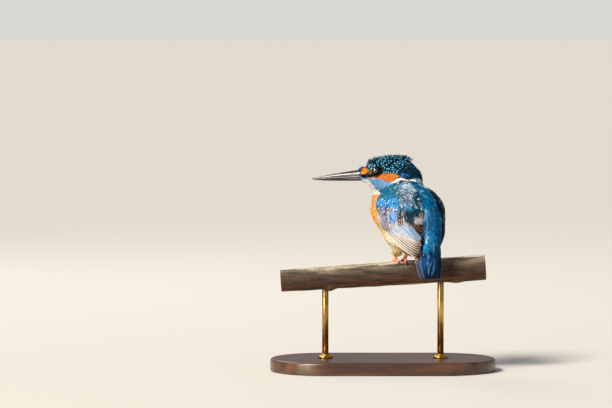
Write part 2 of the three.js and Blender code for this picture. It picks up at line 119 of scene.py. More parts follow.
BIRD_MIDDLE = Vector((0.014, 0, 0.13))
LAMPS = [
    ("key", "SUN", {"from": (-0.8, -0.8, 1.05), "size": 0.3, "power": 5.2, "tint": "fff5e8"}),
    ("fill", "AREA", {"from": (1.1, -0.9, 0.35), "size": 0.9, "power": 1.6, "tint": "d8e9ff"}),
    ("bounce", "AREA", {"from": (-1.0, -1.0, -0.06), "size": 0.6, "power": 22, "tint": "fff0d8"}),
    ("rim", "AREA", {"from": (-0.6, 1.0, 0.9), "size": 0.5, "power": 5, "tint": "fffaf0"}),
]
for name, kind, lamp in LAMPS:
    light = bpy.data.lights.new(name, kind)
    if kind == "SUN":
        light.angle = lamp["size"]
    else:
        light.size = lamp["size"]
    light.energy = lamp["power"]
    light.color = paint(lamp["tint"])[:3]
    stand = bpy.data.objects.new(name, light)
    stand.location = BIRD_MIDDLE + Vector(lamp["from"])
    stand.rotation_euler = (BIRD_MIDDLE - stand.location).to_track_quat("-Z", "Y").to_euler()
    bpy.context.collection.objects.link(stand)


# ------------------------------------------------------------------ display base
# A flat board of dark oiled walnut with round ends. Its top and bottom edges are rounded over by a router.
def feed(tree, socket, value):
    """Links a socket, or sets it from a number, a vector or a colour code."""
    if isinstance(value, bpy.types.NodeSocket):
        tree.links.new(value, socket)
    else:
        socket.default_value = paint(value) if isinstance(value, str) else value


def add_node(tree, kind, **inputs):
    """A shader node, with its inputs fed by name."""
    node = tree.nodes.new("ShaderNode" + kind)
    for name, value in inputs.items():
        feed(tree, node.inputs[name.replace("_", " ")], value)
    return node


def calc(tree, operation, *values, kind="Math"):
    """The result of one sum over sockets and numbers."""
    node = tree.nodes.new("ShaderNode" + kind)
    node.operation = operation
    for socket, value in zip(node.inputs, values):
        feed(tree, socket, value)
    return node.outputs["Value"]


def mix_colour(tree, factor, first, second, blend="MIX"):
    """Mixes two colours, each a socket or a colour code, by a socket or a number."""
    node = tree.nodes.new("ShaderNodeMix")
    node.data_type = "RGBA"
    node.blend_type = blend
    for value, socket in ((factor, node.inputs[0]), (first, node.inputs[6]), (second, node.inputs[7])):
        feed(tree, socket, value)
    return node.outputs[2]


def grain(tree, scale, stretch, detail=6.0):
    """Noise drawn out along one axis of the object, for wood grain, brushed metal and bark."""
    where = add_node(tree, "TexCoord").outputs["Object"]
    drawn = add_node(tree, "Mapping", Vector=where, Scale=stretch).outputs["Vector"]
    return add_node(tree, "TexNoise", Vector=drawn, Scale=scale, Detail=detail).outputs["Fac"]


def ramp(tree, source, stops):
    """A colour from a value, by pairs of a place and a colour code."""
    node = add_node(tree, "ValToRGB", Fac=source)
    while len(node.color_ramp.elements) < len(stops):
        node.color_ramp.elements.new(0.5)
    for element, (place, code) in zip(node.color_ramp.elements, stops):
        element.position = place
        element.color = paint(code)
    return node.outputs["Color"]


def bump(tree, height, strength, distance, shader):
    """Feeds a height into the shader's normal, with the distance in metres."""
    node = add_node(tree, "Bump", Height=height, Strength=strength, Distance=distance)
    tree.links.new(node.outputs["Normal"], shader.inputs["Normal"])


def loft(rings):
    """Vertices and faces through rings of points, with a fan at each end."""
    count = len(rings[0])
    vertices = [p for ring in rings for p in ring]
    faces = []
    for r in range(len(rings) - 1):
        for i in range(count):
            j = (i + 1) % count
            faces.append((r * count + i, r * count + j, (r + 1) * count + j, (r + 1) * count + i))
    for r, turn in ((0, True), (len(rings) - 1, False)):
        middle = len(vertices)
        vertices.append(tuple(np.mean(np.array(rings[r]), axis=0)))
        for i in range(count):
            pair = (r * count + i, r * count + (i + 1) % count)
            faces.append((*(pair[::-1] if turn else pair), middle))
    return vertices, faces


base_low, base_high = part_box("stand_base")
BASE_ROUND = 2.0 * MM
END_STEPS = 40
TOP_INSETS = (0.006, 0.02, 0.036)
base_end = (base_high.y - base_low.y) / 2
base_straight = (base_high.x - base_low.x) / 2 - base_end


def base_outline(inset, height):
    """A ring round the board's edge, drawn in by inset."""
    ring = []
    for centre, start in ((base_straight, -math.pi / 2), (-base_straight, math.pi / 2)):
        for i in range(END_STEPS + 1):
            turn = start + math.pi * i / END_STEPS
            reach = base_end - inset
            ring.append((centre + reach * math.cos(turn), reach * math.sin(turn), height))
    return ring


base_rings = []
for k in range(7):
    turn = math.pi / 2 * k / 6
    raised = base_low.z + BASE_ROUND / 2 * (1 - math.cos(turn))
    base_rings.append(base_outline(BASE_ROUND * (1 - math.sin(turn)) / 2, raised))
for k in range(9):
    turn = math.pi / 2 * k / 8
    raised = base_high.z - BASE_ROUND * (1 - math.sin(turn))
    base_rings.append(base_outline(BASE_ROUND * (1 - math.cos(turn)), raised))
for inset in TOP_INSETS:
    base_rings.append(base_outline(inset, base_high.z))
base = add_mesh("display_base", *loft(base_rings))
walnut, tree, shader = new_material("walnut", 0.35, Coat_Weight=0.25, Coat_Roughness=0.25)
figure = grain(tree, 9.0, (1.2, 14, 14))
pores = grain(tree, 160.0, (1, 26, 26), 3.0)
streaked = calc(tree, "MULTIPLY_ADD", pores, 0.3, figure)
tone = ramp(tree, streaked, [(0.38, "1d0f08"), (0.58, "3c2213"), (0.8, "5a3720")])
tree.links.new(tone, shader.inputs["Base Color"])
bump(tree, pores, 0.25, 0.0003, shader)
base.data.materials.append(walnut)
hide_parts("stand_base")
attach(base, "root")


# ------------------------------------------------------------------ brass rods and collars
# Two turned brass rods stand in stepped collars on the base and run up into the branch's underside. They are
# brushed along their length and have darkened a little.
brass, tree, shader = new_material("brass", 0.3, Metallic=1.0)
brushing = grain(tree, 900.0, (1, 1, 0.02), 2.0)
tarnish = grain(tree, 60.0, (1, 1, 1), 4.0)
tone = ramp(tree, tarnish, [(0.3, "8a6a32"), (0.55, "b8934e"), (0.75, "c9a561")])
tree.links.new(tone, shader.inputs["Base Color"])
bump(tree, brushing, 0.15, 0.0002, shader)
TURNED_SIDES = 48
ROD_CHAMFER = 0.0004
COLLAR_STEPS = [(0.86, 0.46), (0.76, 0.62), (0.7, 0.94)]


def turned(name, x, profile):
    """A solid of revolution about the upright line at x, from [radius, height] pairs, bottom first."""
    turns = [2 * math.pi * i / TURNED_SIDES for i in range(TURNED_SIDES)]
    rings = []
    for radius, height in profile:
        rings.append([(x + radius * math.cos(turn), radius * math.sin(turn), height) for turn in turns])
    return add_mesh(name, *loft(rings))


for side in ("left", "right"):
    rod_low, rod_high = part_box("stand_rod_" + side)
    collar_low, collar_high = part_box("stand_collar_" + side)
    x = (rod_low.x + rod_high.x) / 2
    rod_radius = (rod_high.x - rod_low.x) / 2
    chamfer = [(rod_radius, rod_high.z - ROD_CHAMFER), (rod_radius - ROD_CHAMFER, rod_high.z)]
    rod = turned("rod_" + side, x, [(rod_radius, rod_low.z), *chamfer])
    out = (collar_high.x - collar_low.x) / 2
    tall = collar_high.z - collar_low.z
    foot = collar_low.z
    flange = [(out, foot), (out, foot + tall * 0.34), (out - 0.0003, foot + tall * 0.42)]
    steps = [(out * wide, foot + tall * up) for wide, up in COLLAR_STEPS]
    top = [(out * 0.66, collar_high.z), (rod_radius + 0.0003, collar_high.z)]
    collar = turned("collar_" + side, x, flange + steps + top)
    for piece, node in ((rod, "stand_rod_" + side), (collar, "stand_collar_" + side)):
        piece.data.materials.append(brass)
        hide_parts(node)
        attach(piece, "root")


# ------------------------------------------------------------------ perch
# A cut length of a thin branch, sawn square at both ends. Its bark is red-brown below and grey on top, the
# grey partly weathering and partly a painted highlight, lightest in a thin line along the top, with shallow
# cracks along it and knots where twigs grew.
PERCH_TILT = math.radians(3.8)
PERCH_MIDDLE = 75.6 * MM
PERCH_LENGTH = 160 * MM
PERCH_ENDS = (8.5 * MM, 9.9 * MM)
# Each knot's place along the branch in millimetres, its heading round it in degrees, its size and its height.
KNOTS = [
    (-42, 250, 4.0, 2.1),
    (-6, 215, 6.0, 1.3),
    (57, 285, 5.0, 1.2),
    (-61, 330, 3.0, 0.8),
    (30, 20, 3.5, 0.7),
]


def wobble(s, turn, count, low, high, seed):
    """A sum of random waves along and round the branch, from -1 to 1, the same each run."""
    waves = np.random.default_rng(seed)
    total = np.zeros(np.broadcast(s, turn).shape)
    for _ in range(count):
        along = waves.uniform(low, high)
        round_it = waves.integers(1, 9)
        total += np.sin(along * s * 1000 + round_it * turn + waves.uniform(0, 6.28)) / count**0.5
    return total


def perch_surface(s, turn, rough=1.0):
    """Radius of the bark at s along the branch and turn round it, both arrays."""
    t = s / PERCH_LENGTH + 0.5
    radius = PERCH_ENDS[0] + (PERCH_ENDS[1] - PERCH_ENDS[0]) * t
    radius = radius + 0.00018 * np.sin(s / 0.009) * np.sin(s / 0.023)
    for at, heading, size, high in KNOTS:
        away = np.arctan2(np.sin(turn - math.radians(heading)), np.cos(turn - math.radians(heading)))
        far = ((s - at * MM) ** 2 + (radius * away) ** 2) / (size * MM) ** 2
        radius = radius + high * MM * np.exp(-far)
    fibres = wobble(s, turn * 6, 14, 0.05, 0.35, 3) * 0.00007
    lumps = wobble(s, turn, 10, 0.05, 0.25, 5) * 0.00012
    cracks = -0.00022 * np.clip(wobble(s, turn * 4, 9, 0.03, 0.1, 7) - 1.3, 0, 1)
    return radius + rough * (fibres + lumps + cracks)


perch_steps, perch_sides = 340, 132
s_grid = np.linspace(-PERCH_LENGTH / 2, PERCH_LENGTH / 2, perch_steps)[:, None]
turn_grid = np.linspace(0, 2 * math.pi, perch_sides, endpoint=False)[None, :]
bark_radius = perch_surface(s_grid, turn_grid)
SAW_ROUND = 0.0004
edge = np.clip(1 - (PERCH_LENGTH / 2 - np.abs(s_grid)) / SAW_ROUND, 0, 1)
bark_radius = bark_radius - SAW_ROUND * 0.6 * edge**2


def perch_to_row(s, y, z):
    """A place in the branch's own frame, in the row frame."""
    return (
        s * math.cos(PERCH_TILT) - z * math.sin(PERCH_TILT),
        y,
        PERCH_MIDDLE + s * math.sin(PERCH_TILT) + z * math.cos(PERCH_TILT),
    )


perch_rings = []
for k in range(perch_steps):
    ring = []
    for i in range(perch_sides):
        r, turn = bark_radius[k, i], turn_grid[0, i]
        ring.append(perch_to_row(s_grid[k, 0], r * math.cos(turn), r * math.sin(turn)))
    perch_rings.append(ring)
perch = add_mesh("branch", *loft(perch_rings))


def sawn_end_mask(tree):
    """How far a face looks along the branch: 1 on the two sawn ends."""
    axis = (math.cos(PERCH_TILT), 0, math.sin(PERCH_TILT))
    normal = add_node(tree, "NewGeometry").outputs["True Normal"]
    facing = calc(tree, "DOT_PRODUCT", normal, axis, kind="VectorMath")
    return calc(tree, "GREATER_THAN", calc(tree, "ABSOLUTE", facing), 0.85)


bark, tree, shader = new_material("bark", 0.85)
fibre = grain(tree, 320.0, (0.12, 1, 1), 8.0)
patch = grain(tree, 55.0, (0.6, 1, 1), 5.0)
fleck = grain(tree, 1100.0, (0.5, 1, 1), 2.0)
where = add_node(tree, "TexCoord").outputs["Object"]
lowered = add_node(tree, "Mapping", Vector=where, Location=(0, 0, -PERCH_MIDDLE)).outputs["Vector"]
apart = add_node(tree, "SeparateXYZ", Vector=lowered).outputs
level = calc(tree, "MULTIPLY_ADD", apart["X"], -math.tan(PERCH_TILT), apart["Z"])
height = add_node(tree, "MapRange", Value=level, From_Min=-PERCH_ENDS[1], From_Max=PERCH_ENDS[1])
# The bark lightens by height towards the top: partly grey weathering and partly a painted highlight from
# above.
weathered_and_lit = calc(tree, "ADD", height.outputs["Result"], calc(tree, "MULTIPLY_ADD", patch, 0.55, -0.27))
UNDERSIDE = [(0.0, "a57d45"), (0.1, "6a4022"), (0.3, "4e2b14"), (0.5, "3c2717")]
LIT_GREY_TOP = [(0.68, "4a3829"), (0.86, "786c5b"), (0.98, "c4b7a0")]
bark_tone = ramp(tree, weathered_and_lit, UNDERSIDE + LIT_GREY_TOP)
dark_fibre = ramp(tree, fibre, [(0.36, "4a443f"), (0.56, "ffffff")])
speckle = ramp(tree, fleck, [(0.35, "6a6662"), (0.6, "ffffff")])
grey_bark = mix_colour(tree, 0.85, bark_tone, dark_fibre, "MULTIPLY")
flecked = mix_colour(tree, 0.6, grey_bark, speckle, "MULTIPLY")

# The sawn ends: growth rings round the pith, dark at the heart and under the bark.
end_plane = add_node(tree, "CombineXYZ", Y=apart["Y"], Z=level).outputs["Vector"]
year_rings = add_node(tree, "TexWave", Vector=end_plane, Scale=230, Distortion=1.1, Detail=3)
year_rings.wave_type = "RINGS"
year_rings.rings_direction = "X"
end_grain = ramp(tree, year_rings.outputs["Fac"], [(0.1, "7d5a34"), (0.5, "b48c57"), (0.9, "d8b985")])
from_pith = calc(tree, "LENGTH", end_plane, kind="VectorMath")
outwards = calc(tree, "MULTIPLY_ADD", from_pith, 1 / PERCH_ENDS[1], calc(tree, "MULTIPLY", patch, 0.12))
HEARTWOOD = [(0.1, "4a3019"), (0.16, "c2a27a"), (0.5, "d9c3a2")]
SAPWOOD = [(0.6, "ffffff"), (0.86, "f4ead8"), (0.93, "5a4332")]
aged_end = mix_colour(tree, 1.0, end_grain, ramp(tree, outwards, HEARTWOOD + SAPWOOD), "MULTIPLY")
bark_or_end = mix_colour(tree, sawn_end_mask(tree), flecked, aged_end)
tree.links.new(bark_or_end, shader.inputs["Base Color"])
bump(tree, fibre, 0.7, 0.0005, shader)
perch.data.materials.append(bark)
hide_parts("perch")
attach(perch, "root")


# ------------------------------------------------------------------ skin
# One closed skin over the head, neck, trunk, thighs, wings and tail. It is fused from their solids, softened,
# and sunk under them by the depth of the coat that grows from it.
BODY_TURN = math.radians(132)
HEAD_TURN = math.radians(170)
FEET_AT = np.array([14.0, 0.0, 85.9])
SKULL_AT = FEET_AT + np.array([-10.0, 0.95, 69.0])
FLESH = ["head", "neck", "trunk", "tail", "thigh_left", "thigh_right", "wing_left", "wing_right"]
FUSE = 0.45
VOXEL = 0.85
COAT_DEPTH = 0.95
FACE_DEPTH = 0.5
TAIL_ROOT = 8.0
EYE_IN_SKULL = np.array([8.3, 8.2, 1.8])
SOCKET_WIDTH = (4.0, 2.4)
SOCKET_DEPTH = 0.9
FACE_FORWARD = 1.0
THICKEST = 20.0
SINK_SHARE = 0.42


def turned_frame(points, origin, turn):
    """Points of the row, in millimetres, as forwards, left and up from an origin that faces along turn."""
    q = points - origin
    c, s = math.cos(turn), math.sin(turn)
    return np.stack([q[..., 0] * c + q[..., 1] * s, -q[..., 0] * s + q[..., 1] * c, q[..., 2]], -1)


def from_frame(points, origin, turn):
    """The way back from turned_frame."""
    c, s = math.cos(turn), math.sin(turn)
    x = points[..., 0] * c - points[..., 1] * s
    y = points[..., 0] * s + points[..., 1] * c
    return np.stack([x, y, points[..., 2]], -1) + origin


def in_body(points):
    """Places in the row as forwards, left and up from between the feet."""
    return turned_frame(points, FEET_AT, BODY_TURN)


def from_body(points):
    return from_frame(points, FEET_AT, BODY_TURN)


def in_skull(points):
    """Places in the row as forwards, left and up from the middle of the skull."""
    return turned_frame(points, SKULL_AT, HEAD_TURN)


def from_skull(points):
    return from_frame(points, SKULL_AT, HEAD_TURN)


def swung(ways, turn):
    """Directions from a frame that faces along turn, in the row."""
    return from_frame(ways, np.zeros(3), turn)


def unit(v):
    return v / np.maximum(np.linalg.norm(v, axis=-1, keepdims=True), 1e-9)


def smoothstep(low, high, value):
    t = np.clip((value - low) / (high - low), 0, 1)
    return t * t * (3 - 2 * t)


def merged_node(node):
    """A node's vertices in millimetres, its triangles and its vertex normals, with the doubles merged."""
    work = bmesh.new()
    work.from_mesh(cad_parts[node].data)
    bmesh.ops.remove_doubles(work, verts=work.verts, dist=2e-6)
    bmesh.ops.triangulate(work, faces=work.faces)
    work.normal_update()
    points = np.array([v.co for v in work.verts]) / MM
    normals = np.array([v.normal for v in work.verts])
    faces = np.array([[v.index for v in f.verts] for f in work.faces])
    work.free()
    return points, faces, normals


def tree_of(points, faces):
    return BVHTree.FromPolygons(points.tolist(), faces.tolist())


def nearest(tree, points):
    """Nearest places on a surface: their points, face normals, face numbers and distances."""
    found = [tree.find_nearest(Vector(p)) for p in points]
    return [np.array([f[k] for f in found]) for k in range(4)]


solids = {node: merged_node(node) for node in FLESH}
solid_trees = {node: tree_of(points, faces) for node, (points, faces, normals) in solids.items()}
fused_points, fused_faces, at = [], [], 0
for node, (points, faces, normals) in solids.items():
    if node == "tail":
        points = points.copy()
        points[:, 2] = np.maximum(points[:, 2], FEET_AT[2] + TAIL_ROOT)
    fused_points.append(points + normals * FUSE)
    fused_faces.append(faces + at)
    at += len(points)
raw = add_mesh("raw_skin", np.concatenate(fused_points) * MM, np.concatenate(fused_faces).tolist())
remesh = raw.modifiers.new("fuse", "REMESH")
remesh.mode = "VOXEL"
remesh.voxel_size = VOXEL * MM
soften = raw.modifiers.new("soften", "SMOOTH")
soften.factor = 0.5
soften.iterations = 6
skin_mesh = bpy.data.meshes.new_from_object(raw.evaluated_get(bpy.context.evaluated_depsgraph_get()))
bpy.data.objects.remove(raw)

work = bmesh.new()
work.from_mesh(skin_mesh)
unseen, shells = set(work.verts), []
while unseen:
    front = [unseen.pop()]
    shell = list(front)
    while front:
        vertex = front.pop()
        for edge_of in vertex.link_edges:
            other = edge_of.other_vert(vertex)
            if other in unseen:
                unseen.remove(other)
                front.append(other)
                shell.append(other)
    shells.append(shell)
outer_shell = set(max(shells, key=len))
bmesh.ops.delete(work, geom=[v for v in work.verts if v not in outer_shell], context="VERTS")
work.normal_update()
work.to_mesh(skin_mesh)
work.free()
skin = bpy.data.objects.new("skin", skin_mesh)
bpy.context.collection.objects.link(skin)


def mesh_arrays(mesh):
    """A mesh's points in millimetres, its normals, and its edges."""
    points = np.empty(len(mesh.vertices) * 3)
    mesh.vertices.foreach_get("co", points)
    normals = np.empty(len(mesh.vertices) * 3, np.float32)
    mesh.vertex_normals.foreach_get("vector", normals)
    edges = np.empty(len(mesh.edges) * 2, np.int64)
    mesh.edges.foreach_get("vertices", edges)
    return points.reshape(-1, 3) / MM, normals.reshape(-1, 3).astype(float), edges.reshape(-1, 2)


def relax(values, edges, rounds, share=0.5):
    """Evens values out over the edges of a mesh."""
    count = np.zeros(len(values))
    np.add.at(count, edges[:, 0], 1)
    np.add.at(count, edges[:, 1], 1)
    column = (slice(None), None) if values.ndim > 1 else slice(None)
    for _ in range(rounds):
        total = np.zeros_like(values)
        np.add.at(total, edges[:, 0], values[edges[:, 1]])
        np.add.at(total, edges[:, 1], values[edges[:, 0]])
        values = values * (1 - share) + share * total / np.maximum(count, 1)[column]
    return values


points, normals, edges = mesh_arrays(skin_mesh)
skin_tree = BVHTree.FromPolygons(points.tolist(), [list(p.vertices) for p in skin_mesh.polygons])
head_place = in_skull(points)
face_mask = smoothstep(-2, 8, head_place[:, 0]) * smoothstep(-16, -10, head_place[:, 2])
depth = FUSE + COAT_DEPTH + (FACE_DEPTH - COAT_DEPTH) * face_mask
thickness = np.full(len(points), THICKEST)
for i, (p, n) in enumerate(zip(points, normals)):
    hit = skin_tree.ray_cast(Vector(p - n * 0.05), Vector(-n), THICKEST)
    if hit[0] is not None:
        thickness[i] = hit[3]
sink = relax(np.minimum(depth, thickness * SINK_SHARE), edges, 4)
points = relax(points - normals * sink[:, None], edges, 2, 0.4)
head_place = in_skull(points)
eye_near = np.linalg.norm(head_place[:, [0, 2]] - EYE_IN_SKULL[[0, 2]], axis=1)
socket = smoothstep(*SOCKET_WIDTH, eye_near) * (np.abs(head_place[:, 1]) > 6)
head_place[:, 1] -= np.sign(head_place[:, 1]) * socket * SOCKET_DEPTH
head_place[:, 0] += FACE_FORWARD * smoothstep(16, 19.4, head_place[:, 0])
points = np.where((head_place[:, 2] > -20)[:, None], from_skull(head_place), points)
skin_mesh.vertices.foreach_set("co", (points * MM).ravel())
skin_mesh.update()
skin_mesh.shade_smooth()
points, normals, edges = mesh_arrays(skin_mesh)
skin_faces = [list(p.vertices) for p in skin_mesh.polygons]
skin_tree = BVHTree.FromPolygons(points.tolist(), skin_faces)
soft_normals = unit(relax(normals, edges, 6))
face_normals = unit(np.array([soft_normals[f].mean(0) for f in skin_faces]))


# ------------------------------------------------------------------ markings
# The colours of the plumage by place. The head is laid out on its own side view, forwards and up, and the
# back and wings on the plane of the folded wing, out from the feet and up. Skin and feathers both read them
# from here.
def rgb(code):
    return np.array(paint(code)[:3])


def in_outline(points, outline, soft):
    """How far inside an outline each flat point lies: 1 inside, 0 outside, and a soft edge between."""
    corners = np.array(outline, float)
    inside = np.zeros(len(points), bool)
    away = np.full(len(points), 1e9)
    for (x0, y0), (x1, y1) in zip(corners, np.roll(corners, -1, 0)):
        along = np.array([x1 - x0, y1 - y0])
        t = np.clip(((points - [x0, y0]) @ along) / (along @ along), 0, 1)
        away = np.minimum(away, np.linalg.norm(points - ([x0, y0] + t[:, None] * along), axis=1))
        crosses = (y0 > points[:, 1]) != (y1 > points[:, 1])
        with np.errstate(divide="ignore", invalid="ignore"):
            at = x0 + (points[:, 1] - y0) * (x1 - x0) / (y1 - y0)
        inside ^= crosses & (points[:, 0] < at)
    return smoothstep(-soft, soft, np.where(inside, away, -away))


def noise(points, size, seed):
    """Smooth noise from -1 to 1 over points, with features of about the size given in millimetres."""
    waves = np.random.default_rng(seed)
    total = np.zeros(len(points))
    for _ in range(9):
        way = unit(waves.normal(size=3)) / size * waves.uniform(2.2, 4.6)
        total += np.sin(points @ way + waves.uniform(0, 6.28))
    return np.clip(total / 4.2, -1, 1)


def mixed(share, first, second):
    """Some of the second colour in the first, by a share for each place."""
    share = np.asarray(share)[..., None]
    return first * (1 - share) + second * share


NIGHT = rgb("030d16")
CROWN_BLUE = rgb("06304c")
SPOT_AZURE = rgb("4cc4fa")
ROYAL = rgb("1a63bd")
AZURE = rgb("2c9ae6")
PALE_AZURE = rgb("a8dcf8")
CERULEAN = rgb("0a86c4")
TEAL = rgb("0571a0")
DEEP_TEAL = rgb("06394e")
MANTLE = rgb("237ba4")
SILVER_LILAC = rgb("9db3d0")
SHADED_FAR_GREEN = rgb("071f22")
ORANGE = rgb("f08c2e")
GOLD = rgb("fbc266")
CREAM = rgb("fff3cf")
WHITE = rgb("fbf9f2")
LORE_BLACK = rgb("08080a")
LORE_OLIVE = rgb("8a7444")

HEAD_MARKS = {
    "malar": [(14.6, -4.8), (7, -4.5), (1, -6.6), (-5, -7.5), (-6.6, -8.1), (-2.8, -9.9), (1.6, -10.8),
        (5.3, -12.6), (7.8, -14), (10, -10.6), (12.9, -7)],
    "ear": [(14.8, -3.6), (9.7, -3.2), (5.2, -2.6), (4, -0.8), (2.4, 0.3), (-1.2, 0.8), (-5.8, 0.5),
        (-10.6, -2.1), (-9.4, -3.6), (-7.2, -4.1), (-5.7, -5.8), (-3.4, -6.8), (0.2, -6.5), (2.9, -5.1),
        (7.2, -4.3), (14.6, -4.4)],
    "neck patch": [(-3.4, -7.4), (-6.3, -6), (-8.2, -4.4), (-11.5, -3.8), (-17.2, -4.3), (-22.5, -5.2),
        (-27, -6.9), (-22.8, -6.3), (-17, -5.5), (-12, -5.3), (-7.4, -7.4)],
    "lore": [(22.5, -0.5), (22.5, 3.3), (15.8, 3.5), (15.2, 0.9), (17.4, -0.9)],
    "olive": [(15.3, 2.5), (11.9, 2.4), (11.7, -0.5), (14.2, -1.1)],
    "eye black": [(22.5, -3.8), (22.5, -0.6), (16, -0.6), (11.6, 3.2), (10.4, 4.9), (7, 5.4), (3.6, 4.3),
        (2.8, 1.4), (3.6, -1), (5, -2.6), (10, -3.1), (15, -4.0)],
    "royal": [(-10.4, -0.6), (-14, -0.5), (-18, -1.2), (-17.6, -3), (-11.2, -3.1)],
}
WING_FRONT = [(-21.5, 47), (-19.8, 42.5), (-13.8, 28.2), (-8.6, 21.8), (-0.3, 14.7), (8.5, 7.0), (16, 2)]
COVERT_LINE = [(-22, 40), (-19, 34.5), (-15.5, 30), (-12, 29.5), (-9.5, 34), (-7, 38), (-4, 39.5), (-3, 40.5),
    (0, 36.5), (2, 34.2), (8, 31.5), (9.2, 36), (14, 38.2), (16.5, 38), (18, 43.7), (26, 44)]


# Patches of the folded wing as millimetres out from the feet and up, each with its colour and the softness of
# its border, painted in this order.
PETROL = [(0.8, 44), (1.2, 35), (4.4, 31.2), (9.3, 30.2), (10, 44)]
WING_PATCHES = [
    # The lilac-grey ground and the silvery grey patches stand for the sun's sheen on dark blue-green quills:
    # painted sheen.
    ([(-24, 60), (-24, 26), (-9, 18), (9, 2), (20, 2), (20, 60)], "a3a2b4", 1.0),
    ([(-14, 27), (-6, 19), (4, 10), (11, 4), (16, 4), (12, 12), (2, 20), (-9, 28)], "6f605a", 2.0),
    ([(7, 8), (13, 4), (17, 4), (17.5, 20), (12, 20.5), (9, 16)], "6c5446", 2.5),
    ([(3.5, 21.4), (13.8, 20), (14.2, 16.6), (9, 15.8), (6, 17.5)], "775a4b", 0.8),
    ([(-13, 26), (-8.6, 29.2), (2.1, 33), (8.1, 28.6), (14.8, 20.4), (15, 18), (9.3, 20.4), (2.1, 19.8),
        (-3.5, 21.4), (-8, 22.8)], "8799b0", 0.7),
    ([(-11, 28), (-8.6, 30), (-2, 31.6), (-2, 29), (-7, 26)], "aeb8ca", 1.2),
    ([(4, 26), (8, 28.2), (14.8, 20.4), (15, 18), (9.3, 20.4), (6, 21.5)], "5c93c6", 1.6),
    ([(-14, 26.5), (-9, 29), (-9, 40), (-18, 40)], "807c94", 0.8),
    ([(-9.4, 30.6), (-3.4, 31.6), (-2.6, 41), (-9.4, 41)], "2a80c8", 0.7),
    ([(-3.8, 42), (-3.0, 28.6), (0.4, 30), (1.8, 34.5), (0.5, 42)], "0a0b10", 0.45),
    (PETROL, "062f40", 0.6),
    ([(3.2, 32.2), (8.1, 28.2), (14.6, 20.2), (19, 18), (19, 30.6), (9, 31.2)], "291c16", 0.6),
    ([(9.2, 60), (20, 60), (20, 34.8), (9.4, 35.6)], "1b2a33", 0.8),
    ([(9.6, 35.6), (16, 34.8), (16, 32), (9.8, 32.2)], "a7a2b4", 0.6),
    ([(15, 40), (19, 40), (19, 34), (15.4, 34.6)], "b98c6c", 0.8),
]


def wing_paint(flat):
    colours = np.zeros((len(flat), 3))
    for outline, code, soft in WING_PATCHES:
        colours = mixed(in_outline(flat, outline, soft), colours, rgb(code))
    return colours


def height_on(line, x):
    xs, ys = np.array(line).T
    return np.interp(x, xs, ys)


def folded_over(points):
    """Places from the feet in the row, with the right side of the body folded onto the left."""
    q = in_body(points)
    q[:, 1] = np.abs(q[:, 1])
    return swung(q, BODY_TURN)


def wing_plane(points):
    """Places as seen flat on the left wing: out from the feet and up."""
    return folded_over(points)[:, [0, 2]]


PANEL_AWAY = 90
PANEL_FALL = 0.35


class Panel:
    """The outer surface of some nodes, seen flat along a level heading, as a depth at each place."""

    def __init__(self, turn, nodes, across, upward):
        self.along = np.array([math.cos(turn), math.sin(turn), 0])
        self.out = np.array([math.sin(turn), -math.cos(turn), 0])
        self.low = np.array([across[0], upward[0]])
        shape = (across[1] - across[0] + 1, upward[1] - upward[0] + 1)
        depth = np.full(shape, np.nan)
        for i in range(shape[0]):
            for j in range(shape[1]):
                start = FEET_AT + self.along * (across[0] + i) + self.out * PANEL_AWAY + [0, 0, upward[0] + j]
                for node in nodes:
                    hit = solid_trees[node].ray_cast(Vector(start), Vector(-self.out), 2 * PANEL_AWAY)
                    if hit[0] is not None:
                        depth[i, j] = np.nanmax([depth[i, j], PANEL_AWAY - hit[3]])
        known = ~np.isnan(depth)
        depth = np.where(known, depth, np.nanmin(depth))
        filled = known.copy()
        while not filled.all():
            near, count = np.zeros(shape), np.zeros(shape)
            for axis, step in ((0, 1), (0, -1), (1, 1), (1, -1)):
                shifted, has = np.roll(depth, step, axis), np.roll(filled, step, axis)
                cut = [slice(None), slice(None)]
                cut[axis] = 0 if step == 1 else -1
                has[tuple(cut)] = False
                near += np.where(has, shifted, 0)
                count += has
            grow = ~filled & (count > 0)
            depth[grow] = near[grow] / count[grow] - PANEL_FALL
            filled |= grow
        for _ in range(3):
            padded = np.pad(depth, 1, mode="edge")
            around = padded[:-2, 1:-1] + padded[2:, 1:-1] + padded[1:-1, :-2] + padded[1:-1, 2:]
            depth = 0.5 * depth + 0.125 * around
        self.depth = depth

    def read(self, flat):
        at = np.clip(flat - self.low, 0, np.array(self.depth.shape) - 1.001)
        i, j = at[..., 0].astype(int), at[..., 1].astype(int)
        s, t = at[..., 0] - i, at[..., 1] - j
        d = self.depth
        lower = d[i, j] * (1 - s) + d[i + 1, j] * s
        upper = d[i, j + 1] * (1 - s) + d[i + 1, j + 1] * s
        return lower * (1 - t) + upper * t

    def place(self, flat, lift):
        """The point over a flat place, raised from the surface by lift along its normal."""
        step = 0.8
        side, up = np.array([step, 0]), np.array([0, step])
        slope_s = (self.read(flat + side) - self.read(flat - side)) / (2 * step)
        slope_t = (self.read(flat + up) - self.read(flat - up)) / (2 * step)
        upright = np.array([0, 0, 1.0])
        normal = unit(self.out - slope_s[..., None] * self.along - slope_t[..., None] * upright)
        base = FEET_AT + flat[..., 0:1] * self.along + flat[..., 1:2] * upright
        return base + self.read(flat)[..., None] * self.out + normal * lift[..., None]


wing_panel = Panel(0.0, ["wing_left"], (-27, 25), (-2, 66))


